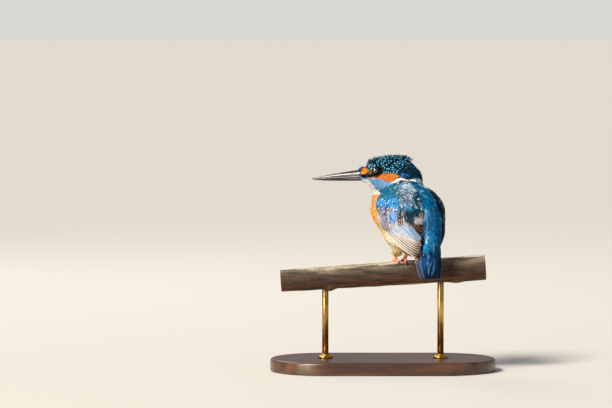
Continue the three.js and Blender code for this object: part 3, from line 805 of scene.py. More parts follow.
# Where each mark or look fades in, from a first place, where it is absent, to a second, where it is full.
# They are in millimetres, but "round" is in degrees from the breast and "covert mottle" is a level of noise.
FADES = {
    "wing behind": (9.5, 7.5), "wing outside": (5, 7), "wing above": (-0.4, 0.6), "wing near": (-3.6, -2.6),
    "wing inner edge": (0.7, -0.7), "wing below": (59, 56),
    "gold below": (44, 26), "cream below": (24, 15), "cream ahead": (-30, -16),
    "low gold below": (15, 8), "low gold behind": (8, -6), "vent behind": (-14, -20), "vent below": (20, 14),
    "shoulder above": (47, 53), "mantle round": (66, 74), "mantle above": (41, 44),
    "rump behind": (-28, -31), "rump above": (9, 13), "rump inside": (14, 12),
    "silver from": (-7, 0), "silver to": (13, 8), "silver above": (41, 46), "azure edge": (-15, -20),
    "dark from": (7, 11), "dark below": (60, 55), "low teal from": (-1.5, 1.5), "low teal below": (43, 38.5),
    "scapulars from": (-4.5, -2.5), "scapulars below": (50, 48), "coverts to": (-2.2, -3.8),
    "coverts below": (50.5, 48.5), "covert mottle": (0.1, 0.7), "grey below": (42.5, 40),
    "quills below": (1, -1), "pale above": (54, 59), "pale round": (72, 82), "pale from": (-4, 3),
    "far side": (-4, -9),
    "low back": (48, 34), "gap behind": (-24, -27), "gap outside": (-0.3, 0.5), "gap below": (24, 20),
    "gap from": (12, 14),
    "head above": (-1.5, 1.5), "nape behind": (-7, -12), "nape below": (7, 1), "throat below": (-5.5, -6.5),
    "throat ahead": (-0.6, 0.6), "throat above": (-18.5, -16), "cheek outside": (2.2, 3.4),
    "low cheek below": (-2.6, -3.4), "low cheek ahead": (-5, -3), "patch near": (-2, 2),
    "patch behind": (-16, -13),
    "swept behind": (2, -16), "rear below": (16, 8), "rear behind": (-6, -16), "belly below": (14, 8),
    "belly ahead": (-8, -2), "head lie above": (-5, 4),
    "forehead above": (3, 6.5), "crown above": (4, 9), "crown ahead": (-20, -12), "face ahead": (15, 18),
    "fluff ahead": (-33, -26),
    "paler spots": (6, 20), "dim behind": (-6, -13), "dim below": (9, 5), "near side": (-6, 2),
    "frost from": (-6, 1), "frost to": (12, 8), "frost above": (40, 46), "white tips below": (44, 40),
    "lit below": (42, 36), "lit to": (22, 18), "lit above": (18, 23),
    "slate tip": (2, -12), "under wing": (3.5, 6.5), "tail left": (-2, -8), "tail right": (1, 8),
    "royal below": (12, 2), "royal left": (4, 0), "tail tip": (-3, -9.5),
}
# The folded wing's inner edge: heights, and how far out it lies at each.
WING_INNER = ([4, 17, 22, 60], [13.6, 14.6, 16.2, 17.4])
# The bright stripe down the back: its half width at each height on the near and the far side, and how far
# back it starts.
STRIPE_LEVELS = [-10, 3, 10, 18, 23, 40, 52, 60]
STRIPE_NEAR = [11.5, 9, 8.4, 8.6, 10, 9.5, 7.5, 4.5]
STRIPE_FAR = [11.5, 11.5, 11.5, 11.5, 11, 7, 3, 1.5]
STRIPE_BACK = ([0, 20, 45, 60], [-31, -29, -18, -13])


def fade(name, value):
    return smoothstep(*FADES[name], value)


def on_folded_wing(points):
    """1 on the outer face of either wing, behind and above its front edge."""
    body = in_body(points)
    flat = wing_plane(points)
    behind = fade("wing behind", body[:, 0]) * fade("wing outside", np.abs(body[:, 1]))
    above = fade("wing above", flat[:, 1] - height_on(WING_FRONT, flat[:, 0]))
    inner = np.interp(flat[:, 1], *WING_INNER)
    near = fade("wing near", -folded_over(points)[:, 1] - wing_panel.read(flat))
    inside = fade("wing inner edge", flat[:, 0] - inner)
    return behind * above * near * inside * fade("wing below", flat[:, 1])


def plumage(points):
    """The plumage's colour at places in the row, in millimetres, and the tract that each lies in."""
    count = len(points)
    body = in_body(points)
    head = in_skull(points)
    flat = wing_plane(points)
    forward, side, height = body[:, 0], np.abs(body[:, 1]), body[:, 2]
    x = flat[:, 0]
    tract = np.full(count, "breast", dtype="U12")
    wide = noise(points, 9, 1)
    fine = noise(points, 3.2, 2)

    def blend_in(mask, colour, name=None):
        nonlocal colours
        colours = mixed(mask, colours, colour)
        if name:
            tract[mask > 0.5] = name

    # Underparts: orange breast, golden flanks and a cream belly.
    colours = np.repeat((ORANGE * 0.3 + GOLD * 0.53 + WHITE * 0.015)[None], count, 0)
    blend_in(fade("gold below", height + 3 * wide) * 0.8, GOLD)
    cream = fade("cream below", height + 2.5 * wide) * fade("cream ahead", forward)
    blend_in(cream, CREAM, "belly")
    blend_in(fade("low gold below", height + 1.5 * fine) * fade("low gold behind", forward) * 0.6, GOLD)
    blend_in(fade("vent behind", forward) * fade("vent below", height), ORANGE * 0.2 + GOLD * 0.8, "vent")

    # Upperparts: mantle and scapulars, then the coverts of the shoulder.
    about = np.degrees(np.arctan2(side, forward + 3))
    folded = on_folded_wing(points)
    reach = 14 * fade("shoulder above", height)
    upper = fade("mantle round", about + reach + 2.5 * wide) * fade("mantle above", height + wide)
    rump = fade("rump behind", forward) * fade("rump above", height) * fade("rump inside", side)
    upper = np.maximum(np.maximum(upper, rump), folded)
    # Over the middle of the mantle the blue is dulled to a lilac-grey cast: a painted sheen.
    sheen_tint = fade("silver from", x + 2 * fine) * fade("silver to", x) * fade("silver above", height)
    mantle = mixed(sheen_tint, MANTLE[None], SILVER_LILAC * 0.2 + MANTLE * 0.42)
    mantle = mixed(fade("azure edge", x) * 0.7, mantle, AZURE)
    dark = fade("dark from", x + fine) * fade("dark below", height)
    mantle = mixed(dark, mantle, DEEP_TEAL * 1.1)
    low_teal = fade("low teal from", x + fine) * fade("low teal below", height)
    mantle = mixed(low_teal, mantle, DEEP_TEAL)
    blend_in(upper, mantle, "mantle")
    long_ones = folded * fade("scapulars from", x) * fade("scapulars below", height)
    tract[long_ones > 0.5] = "scapular"
    shoulder = folded * fade("coverts to", x - 0.3 * fine) * fade("coverts below", height + 1.2 * fine)
    azure = mixed(fade("covert mottle", fine) * 0.4, AZURE[None] * 0.85 + SILVER_LILAC * 0.1, MANTLE)
    blend_in(shoulder, azure, "covert")
    grey_front = shoulder * fade("grey below", height + 0.6 * fine + 0.12 * x)
    blend_in(grey_front, rgb("8f8ea6"), "front covert")
    laid_over = folded * fade("quills below", height - height_on(COVERT_LINE, x))
    blend_in(laid_over, wing_paint(flat))
    top = fade("pale above", height) * fade("pale round", about) * fade("pale from", x)
    blend_in(top * 0.9, PALE_AZURE * 0.8 + AZURE * 0.25)
    # The upperparts on the far side are darkened towards near-black green: painted shade, as that side faces
    # away from the key light.
    blend_in(upper * fade("far side", body[:, 1]) * 0.8, SHADED_FAR_GREEN)

    # The bright stripe from the mantle down to the tail, lit azure on its left half and shaded teal on its
    # right as painted light, and painted shadow in the gap between it and the near wing.
    half = np.interp(height, STRIPE_LEVELS, STRIPE_NEAR)
    half = np.where(body[:, 1] > 0, half, np.interp(height, STRIPE_LEVELS, STRIPE_FAR))
    back_from = np.interp(height, *STRIPE_BACK)
    stripe = smoothstep(half + 1, half - 0.6, side) * smoothstep(back_from + 1.5, back_from - 1.5, forward)
    # Across the stripe the colour runs from azure on the left half to dark teal on the right: painted light,
    # lit on the left and shaded on the right.
    tone = np.clip(0.5 + 0.45 * body[:, 1] / half + 0.25 * wide, 0, 1)
    lit_left_low_back = mixed(tone, TEAL[None] * [0.3, 0.8, 0.85], AZURE)
    high_back = np.repeat((TEAL * 0.65 + CERULEAN * 0.2)[None] * [0.3, 1, 1.05], count, 0)
    blend_in(stripe, mixed(fade("low back", height), high_back, lit_left_low_back), "back")
    # The gap between the stripe and the near wing is painted near black: painted shadow, on the near side
    # only.
    gap_shadow = fade("gap behind", forward) * fade("gap outside", side - half) * fade("gap below", height)
    blend_in(gap_shadow * fade("gap from", x) * (body[:, 1] > 0), NIGHT * 0.8, "vent")

    # Head: everything over the throat, then its marks by their outlines.
    on_head = fade("head above", 0.25 * (head[:, 0] + 6) + head[:, 2] + 8.5)
    sideways = head[:, [0, 2]] + 0.3 * np.stack([noise(points, 2, 3), noise(points, 2, 4)], 1)
    nape = fade("nape behind", head[:, 0]) * fade("nape below", head[:, 2])
    blend_in(on_head, CROWN_BLUE * 0.6 + 0.4 * NIGHT, "crown")
    blend_in(on_head * nape, DEEP_TEAL * 0.75 + NIGHT * 0.1, "nape")
    throat = fade("throat below", head[:, 2] - 0.12 * (head[:, 0] - 10))
    throat = throat * fade("throat ahead", head[:, 0] - 11.8 - 0.8 * (head[:, 2] + 7.4))
    blend_in(throat * fade("throat above", head[:, 2] + 0.8 * wide), WHITE, "throat")
    flank = fade("cheek outside", np.abs(head[:, 1]))
    blend_in(in_outline(sideways, HEAD_MARKS["royal"], 0.6) * flank, ROYAL)
    low_cheek = fade("low cheek below", head[:, 2]) * fade("low cheek ahead", head[:, 0]) * (1 - throat)
    malar_blue = AZURE * 0.6 + SILVER_LILAC * 0.45
    blend_in(on_head * low_cheek * flank, malar_blue, "malar")
    for name, colour, tract_name in (
        ("malar", malar_blue, "malar"),
        ("neck patch", WHITE, "neck patch"),
        ("ear", ORANGE * 0.7, "ear"),
        ("eye black", LORE_BLACK, "lore"),
        ("lore", ORANGE * 0.85, "lore"),
        ("olive", LORE_OLIVE, "lore"),
    ):
        mark = in_outline(sideways, HEAD_MARKS[name], 0.4)
        if name == "neck patch":
            mark = mark * np.maximum(fade("patch near", head[:, 1]), fade("patch behind", head[:, 0]))
        blend_in(mark * flank, colour, tract_name)
    return colours, tract


# ------------------------------------------------------------------ contour feathers
# The small feathers of head and body. Each is a thin closed vane that starts in the skin, follows the lie of
# the coat and lifts to its tip. Soft tracts carry narrow split tufts, and the back carries firm round vanes.
TRACTS = {
    "crown": {"apart": 0.92, "long": 3.4, "wide": 1.7, "lift": 1.25, "split": 1},
    "nape": {"apart": 0.9, "long": 4.8, "wide": 1.5, "lift": 1.5, "split": 1},
    "lore": {"apart": 0.46, "long": 1.8, "wide": 0.6, "lift": 0.35, "split": 1},
    "ear": {"apart": 0.56, "long": 3.0, "wide": 0.7, "lift": 0.6, "split": 1},
    "malar": {"apart": 0.62, "long": 2.8, "wide": 0.85, "lift": 0.7, "split": 1},
    "neck patch": {"apart": 0.6, "long": 2.6, "wide": 0.9, "lift": 0.9, "split": 1},
    "throat": {"apart": 0.62, "long": 2.6, "wide": 0.8, "lift": 0.6, "split": 1},
    "breast": {"apart": 0.95, "long": 5.2, "wide": 1.4, "lift": 0.9, "split": 3},
    "belly": {"apart": 0.95, "long": 5.8, "wide": 1.4, "lift": 1.0, "split": 3},
    "vent": {"apart": 1.0, "long": 6.0, "wide": 1.6, "lift": 0.9, "split": 3},
    "thigh": {"apart": 0.7, "long": 5.4, "wide": 1.4, "lift": 0.9, "split": 3},
    "mantle": {"apart": 0.95, "long": 5.2, "wide": 1.5, "lift": 1.0, "split": 2},
    "back": {"apart": 0.95, "long": 7.0, "wide": 1.4, "lift": 1.3, "split": 2},
    "covert": {"apart": 1.0, "long": 4.0, "wide": 1.7, "lift": 1.1, "split": 1},
    "front covert": {"apart": 0.95, "long": 3.8, "wide": 1.5, "lift": 0.95, "split": 1},
    "scapular": {"apart": 1.45, "long": 7.0, "wide": 2.7, "lift": 1.35, "split": 1},
}
FIRM = {
    "along": np.array([0.0, 0.16, 0.38, 0.6, 0.78, 0.91, 1.0]),
    "shape": np.array([0.25, 0.62, 0.92, 1.0, 0.88, 0.58, 0.1]),
}
SOFT = {"along": np.array([0.0, 0.3, 0.6, 0.85, 1.0]), "shape": np.array([0.4, 1.0, 0.9, 0.45, 0.04])}
DIAMOND = (np.array([-1.0, 0.0, 1.0, 0.0]), np.array([0.0, 1.0, 0.0, -1.0]))
WIDE_SECTION = (
    np.array([-1, -0.5, 0, 0.5, 1, 0.5, 0, -0.5]),
    np.array([0, 0.85, 1.2, 0.85, 0, -0.7, -0.8, -0.7]),
)
ROOT_DEPTH = 0.35
FEATHER_BEND = 1.92
FEATHER_RISE = 0.8
FEATHER_CAMBER = 0.14
DOWN_SHADE = 0.6
BARBS_PER_MM = 6.5
BARB_SLANT = 1.3
SHAFT_HALF = 0.06
TUFT_PATCH = 0.003
COAT_SEED = 5
ROOT_TRIES = 90000
# Cells at least as wide as the farthest that two roots stand apart, so that only the next cells are searched.
GRID_CELL = 1.5
# How far apart the crown's pale spots stand, each over a stretch of the head between two places forwards.
SPOT_ZONES = [(9, 99, 0.98), (2, 9, 1.2), (-99, 2, 1.5)]
CREST = {"behind": -13.2, "above": 9.4, "way": (-0.99, 0.0, -0.06)}
BARE = {"eye": 2.8, "bill": (21.8, 4.2), "tail": -29, "far side": -30}
UNEVEN = {"fan": 0.08, "crest": 0.04, "length": (0.82, 1.15), "lift": (0.8, 1.15)}
TUFT_FAN = 0.28
FOREHEAD = {"from": (7.0, 14.0), "to": (21.5, 18.0), "raised": 2.7, "cheeks": 0.8, "closer": 0.8}
HANGING = {"from": (16.0, 8.0), "longer": 3.4, "raised": 1.6}

bpy.context.view_layer.objects.active = skin
skin.select_set(True)
bpy.ops.object.mode_set(mode="EDIT")
bpy.ops.mesh.select_all(action="SELECT")
bpy.ops.uv.smart_project(angle_limit=math.radians(60), island_margin=0.002)
bpy.ops.object.mode_set(mode="OBJECT")
skin_mesh.uv_layers[0].name = "OFBake"
corner_uv = np.empty(len(skin_mesh.loops) * 2, np.float32)
skin_mesh.uv_layers["OFBake"].uv.foreach_get("vector", corner_uv)
corner_uv = corner_uv.reshape(-1, 2).astype(float)
face_start = np.array([p.loop_start for p in skin_mesh.polygons])


def skin_uv(places, face_numbers):
    """The unwrap's place under points that lie on known faces of the skin."""
    out = np.empty((len(places), 2))
    for i, (place, number) in enumerate(zip(places, face_numbers)):
        corners = skin_faces[number]
        weight = 1 / (np.linalg.norm(points[corners] - place, axis=1) ** 2 + 1e-3)
        start = face_start[number]
        out[i] = (corner_uv[start : start + len(corners)] * weight[:, None]).sum(0) / weight.sum()
    return out


def lie(places, normals_there):
    """The way that the coat lies: back from the bill over the head, and down and back over the body."""
    head = in_skull(places)
    from_bill = unit(head - np.array([25.0, 0.0, -2.5]))
    from_bill[:, 2] -= 0.5 * fade("swept behind", head[:, 0])
    ahead = swung(np.array([[1.0, 0.0, 0.0]]), HEAD_TURN)[0]
    on_bill = (head[:, 0] > 15.8) & (head[:, 2] < 3.8) & (normals_there @ ahead < 0.85)
    from_bill = np.where(on_bill[:, None], [1.0, 0.0, 0.0], from_bill)
    on_head = swung(from_bill, HEAD_TURN)
    body = in_body(places)
    back = np.stack([np.full(len(places), -0.42), np.zeros(len(places)), np.full(len(places), -0.9)], 1)
    back[:, 0] -= 0.5 * fade("rear below", body[:, 2]) * fade("rear behind", body[:, 0])
    back[:, 0] -= 0.35 * on_folded_wing(places)
    back[:, 0] += 0.3 * fade("belly below", body[:, 2]) * fade("belly ahead", body[:, 0])
    on_body = swung(back, BODY_TURN)
    share = fade("head lie above", 0.25 * (head[:, 0] + 6) + head[:, 2] + 8)[:, None]
    way = on_head * share + on_body * (1 - share)
    return unit(way - (way * normals_there).sum(1, keepdims=True) * normals_there)


def spread_roots(apart_of, seed, tries):
    """Random places on the skin, no two nearer than the tract's own distance."""
    draw = np.random.default_rng(seed)
    corners = [f[:3] for f in skin_faces] + [[f[0], f[2], f[3]] for f in skin_faces if len(f) == 4]
    owner = list(range(len(skin_faces))) + [k for k, f in enumerate(skin_faces) if len(f) == 4]
    corners, owner = np.array(corners), np.array(owner)
    a, b, c = points[corners[:, 0]], points[corners[:, 1]], points[corners[:, 2]]
    area = np.linalg.norm(np.cross(b - a, c - a), axis=1)
    apart_there = apart_of((a + b + c) / 3)
    chance = area * (apart_there > 0) / np.maximum(apart_there, 0.3) ** 2
    pick = draw.choice(len(corners), tries, p=chance / chance.sum())
    r1, r2 = np.sqrt(draw.random(tries)), draw.random(tries)
    spots = a[pick] * (1 - r1)[:, None] + b[pick] * (r1 * (1 - r2))[:, None] + c[pick] * (r1 * r2)[:, None]
    apart = apart_there[pick]
    grid, kept = {}, []
    for i in range(tries):
        x, y, z = spots[i]
        limit = apart[i] ** 2
        key = (int(x // GRID_CELL), int(y // GRID_CELL), int(z // GRID_CELL))
        around = (
            other
            for dx in (-1, 0, 1)
            for dy in (-1, 0, 1)
            for dz in (-1, 0, 1)
            for other in grid.get((key[0] + dx, key[1] + dy, key[2] + dz), ())
        )
        if all((px - x) ** 2 + (py - y) ** 2 + (pz - z) ** 2 >= limit for px, py, pz in around):
            grid.setdefault(key, []).append((x, y, z))
            kept.append(i)
    return spots[kept], owner[pick[kept]]


def walk_feathers(roots, ways, lengths, lifts, along, straight):
    """Spines that step along the skin from their roots. They give centres, sides and ups at every ring."""
    count = len(roots)
    centres = np.empty((count, len(along), 3))
    ups = np.empty_like(centres)
    fronts = np.empty_like(centres)
    number = nearest(skin_tree, roots)[2]
    up = np.where(straight[:, None], np.array([0.0, 0.0, 1.0]), face_normals[number])
    way = ways
    centres[:, 0] = roots - up * ROOT_DEPTH
    ups[:, 0], fronts[:, 0] = up, way
    for k in range(1, len(along)):
        share = along[k] - along[k - 1]
        step = (share * lengths)[:, None]
        ahead = centres[:, k - 1] + way * step
        on, _, number, _ = nearest(skin_tree, ahead)
        settled = unit(0.5 * ups[:, k - 1] + 0.5 * face_normals[number])
        up = np.where(straight[:, None], ups[:, k - 1], settled)
        lift = (lifts * along[k] ** FEATHER_RISE)[:, None]
        goal = unit(on + face_normals[number] * lift - centres[:, k - 1])
        turn = (goal - way) * ~straight[:, None]
        size = np.linalg.norm(turn, axis=1, keepdims=True)
        way = unit(way + turn * np.minimum(1, FEATHER_BEND * share / np.maximum(size, 1e-6)))
        centres[:, k] = centres[:, k - 1] + way * step
        up = unit(up - (up * way).sum(1, keepdims=True) * way)
        ups[:, k], fronts[:, k] = up, way
    sides = unit(np.cross(ups, fronts))
    return centres, sides, ups


def loft_faces(count, rings, around):
    """Triangles of many closed lofts, each of so many rings of so many points."""
    ring = np.arange(around)
    beside = (ring + 1) % around
    made = []
    for k in range(rings - 1):
        a, b = k * around + ring, k * around + beside
        c, d = (k + 1) * around + beside, (k + 1) * around + ring
        made += [np.stack([a, b, d], 1), np.stack([b, c, d], 1)]
    for k, flip in ((0, True), (rings - 1, False)):
        for i in range(1, around - 1):
            fan = [k * around, k * around + i, k * around + i + 1]
            made.append(np.array([fan[::-1] if flip else fan]))
    one = np.concatenate(made)
    return (one[None] + (np.arange(count) * rings * around)[:, None, None]).reshape(-1, 3)


def vane_mesh(centres, sides, ups, widths, thick, section):
    """Closed lofts along many spines at once."""
    across, rise = section
    count, rings = centres.shape[:2]
    out = sides[:, :, None, :] * (across[None, None, :, None] * widths[:, :, None, None])
    rising = rise[None, None, :, None] * thick[:, :, None, None]
    droop = (across**2)[None, None, :, None] * (FEATHER_CAMBER * widths)[:, :, None, None]
    vertices = centres[:, :, None, :] + out + ups[:, :, None, :] * (rising - droop)
    return vertices, loft_faces(count, rings, len(across))


def colour_points(mesh, name, colours):
    """Keeps a colour for each vertex of a mesh."""
    rgba = np.ones((len(mesh.vertices), 4), np.float32)
    rgba[:, :3] = np.clip(colours, 0, 1)
    mesh.attributes.new(name, "FLOAT_COLOR", "POINT").data.foreach_set("color", rgba.ravel())


def coat_piece(name, vertices, faces, colours, vane, uv, slot, *replaced):
    """A piece of the coat from arrays, with its colours, its vane places and its own unwrap."""
    mesh = bpy.data.meshes.new(name)
    mesh.from_pydata(vertices.reshape(-1, 3) * MM, [], faces)
    mesh.shade_smooth()
    mesh.set_sharp_from_angle(angle=math.radians(60))
    colour_points(mesh, "plumage", colours.reshape(-1, 3))
    vane_at = mesh.attributes.new("vane", "FLOAT_VECTOR", "POINT")
    vane_at.data.foreach_set("vector", vane.reshape(-1, 3).astype(np.float32).ravel())
    layer = mesh.uv_layers.new(name="OFBake")
    corner = np.empty(len(mesh.loops), np.int32)
    mesh.loops.foreach_get("vertex_index", corner)
    layer.uv.foreach_set("vector", uv.reshape(-1, 2)[corner].astype(np.float32).ravel())
    piece = bpy.data.objects.new(name, mesh)
    bpy.context.collection.objects.link(piece)
    piece.data.materials.append(plumage_material)
    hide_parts(*replaced)
    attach(piece, "root")


def attribute(tree, name):
    node = add_node(tree, "Attribute")
    node.attribute_name = name
    return node.outputs


def barbs_group():
    """Fine barbs that run out from a feather's shaft, as a height, a light and dark mask, and the shaft."""
    group = bpy.data.node_groups.new("barbs", "ShaderNodeTree")
    group.interface.new_socket("Vane", in_out="INPUT", socket_type="NodeSocketVector")
    fineness = group.interface.new_socket("Barbs per mm", in_out="INPUT", socket_type="NodeSocketFloat")
    fineness.default_value = BARBS_PER_MM
    for output in ("Height", "Shade", "Shaft"):
        group.interface.new_socket(output, in_out="OUTPUT", socket_type="NodeSocketFloat")
    start = group.nodes.new("NodeGroupInput")
    end = group.nodes.new("NodeGroupOutput")
    apart = add_node(group, "SeparateXYZ", Vector=start.outputs["Vane"]).outputs
    out = calc(group, "ABSOLUTE", apart["X"])
    lean = calc(group, "MULTIPLY_ADD", out, -BARB_SLANT, apart["Y"])
    wave = calc(group, "PINGPONG", calc(group, "MULTIPLY", lean, start.outputs["Barbs per mm"]), 1.0)
    streak = add_node(group, "Mapping", Vector=start.outputs["Vane"], Scale=(3.5, 0.5, 40.0))
    split = add_node(group, "TexNoise", Vector=streak.outputs["Vector"], Scale=1.7, Detail=3.0).outputs["Fac"]
    group.links.new(calc(group, "MULTIPLY", wave, split), end.inputs["Height"])
    group.links.new(split, end.inputs["Shade"])
    group.links.new(calc(group, "LESS_THAN", out, SHAFT_HALF), end.inputs["Shaft"])
    return group


plumage_material, tree, shader = new_material("plumage", 0.5, Specular_IOR_Level=0.05)
barb_node = tree.nodes.new("ShaderNodeGroup")
barb_node.node_tree = barbs_group()
tree.links.new(attribute(tree, "vane")["Vector"], barb_node.inputs["Vane"])
tone = attribute(tree, "plumage")["Color"]
for output, share, stops in (
    ("Shade", 0.65, [(0.32, "a8a8a8"), (0.58, "ffffff")]),
    ("Height", 0.4, [(0.0, "acacac"), (0.4, "ffffff")]),
    ("Shaft", 0.6, [(0.0, "ffffff"), (1.0, "6e6e6e")]),
):
    tone = mix_colour(tree, share, tone, ramp(tree, barb_node.outputs[output], stops), "MULTIPLY")
tree.links.new(tone, shader.inputs["Base Color"])
bump(tree, barb_node.outputs["Height"], 0.5, 0.00006, shader)

down, tree, shader = new_material("down", 0.9)
soft = grain(tree, 1400.0, (1, 1, 1), 3.0)
tree.links.new(attribute(tree, "plumage")["Color"], shader.inputs["Base Color"])
bump(tree, soft, 0.6, 0.0002, shader)
skin.data.materials.append(down)
colour_points(skin_mesh, "plumage", plumage(points)[0] * DOWN_SHADE)
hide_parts(*FLESH)
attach(skin, "root")


def mirrored(vertices):
    """The same places on the bird's other side."""
    q = in_body(vertices)
    q[..., 1] *= -1
    return from_body(q)


def node_of(places):
    """Which of the flesh nodes lies nearest to each place."""
    away = np.stack([nearest(solid_trees[node], places)[3] for node in FLESH], 1)
    return np.array(FLESH)[away.argmin(1)]


def apart_at(places):
    """The distance between roots at each place, and 0 where none grow."""
    colours, tract = plumage(places)
    apart = np.array([TRACTS[t]["apart"] for t in tract])
    long = np.array([TRACTS[t]["long"] for t in tract])
    flat = wing_plane(places)
    tips = flat + np.array([0.42, -0.86]) * long[:, None]
    hidden = (on_folded_wing(places) > 0.5) & (tips[:, 1] < height_on(COVERT_LINE, tips[:, 0]))
    head = in_skull(places)
    apart[(tract == "crown") & (head[:, 0] > 7)] *= FOREHEAD["closer"]
    eye_away = np.linalg.norm(np.abs(head * [0, 1, 0]) + head * [1, 0, 1] - EYE_IN_SKULL, axis=1)
    in_bill = (head[:, 0] > BARE["bill"][0]) & (np.abs(head[:, 1]) < BARE["bill"][1])
    body = in_body(places)
    on_tail = (body[:, 0] < BARE["tail"]) & (body[:, 2] < np.where(np.abs(body[:, 1]) > 9.5, 13, 9))
    on_tail |= (body[:, 0] < BARE["far side"]) & (body[:, 1] < -7) & (body[:, 2] < 15)
    apart[hidden | (eye_away < BARE["eye"]) | in_bill | on_tail] = 0
    return apart


def raised_by(places):
    """How far the feathers stand up beyond their tract's lift, most of all on the forehead."""
    head = in_skull(places)
    front = smoothstep(*FOREHEAD["from"], head[:, 0]) * smoothstep(*FOREHEAD["to"], head[:, 0])
    top = fade("forehead above", head[:, 2])
    over = fade("crown above", head[:, 2]) * fade("crown ahead", head[:, 0]) * 0.7
    below = FOREHEAD["cheeks"] * fade("face ahead", head[:, 0]) * (1 - top)
    return np.maximum(front * top * FOREHEAD["raised"], over) + below


def hanging(places):
    """1 on the fluff low under the belly, which hangs over the legs and the root of the tail."""
    body = in_body(places)
    return smoothstep(*HANGING["from"], body[:, 2]) * fade("fluff ahead", body[:, 0])


def spaced(places, apart, draw):
    """True for some of the places, spread evenly with no two nearer than apart."""
    kept = []
    for i in draw.permutation(len(places)):
        if not kept or (((places[kept] - places[i]) ** 2).sum(1) > apart**2).all():
            kept.append(i)
    chosen = np.zeros(len(places), bool)
    chosen[kept] = True
    return chosen


def feather_colours(look, u, v):
    """Colours over feathers from their own: base, middle, tip and edge, and where along it the tip starts."""
    base, middle, tip, edge = (look[k][:, None, None, :] for k in ("base", "middle", "tip", "edge"))
    v, u = v[..., None], np.abs(u)[..., None]
    tip_from = look["tip_from"][:, None, None, None]
    grown = smoothstep(0.08, 0.5, v)
    colours = base * (1 - grown) + middle * grown
    at_tip = smoothstep(0, 0.14, v - tip_from)
    colours = colours * (1 - at_tip) + tip * at_tip
    at_edge = np.clip(u**1.5 * look["edged"][:, None, None, None] * smoothstep(0.1, 0.4, v), 0, 1)
    colours = colours * (1 - at_edge) + edge * at_edge
    fringe = smoothstep(0.95, 1.0, v) * look["fringed"][:, None, None, None]
    return colours * (1 - fringe) + edge * fringe


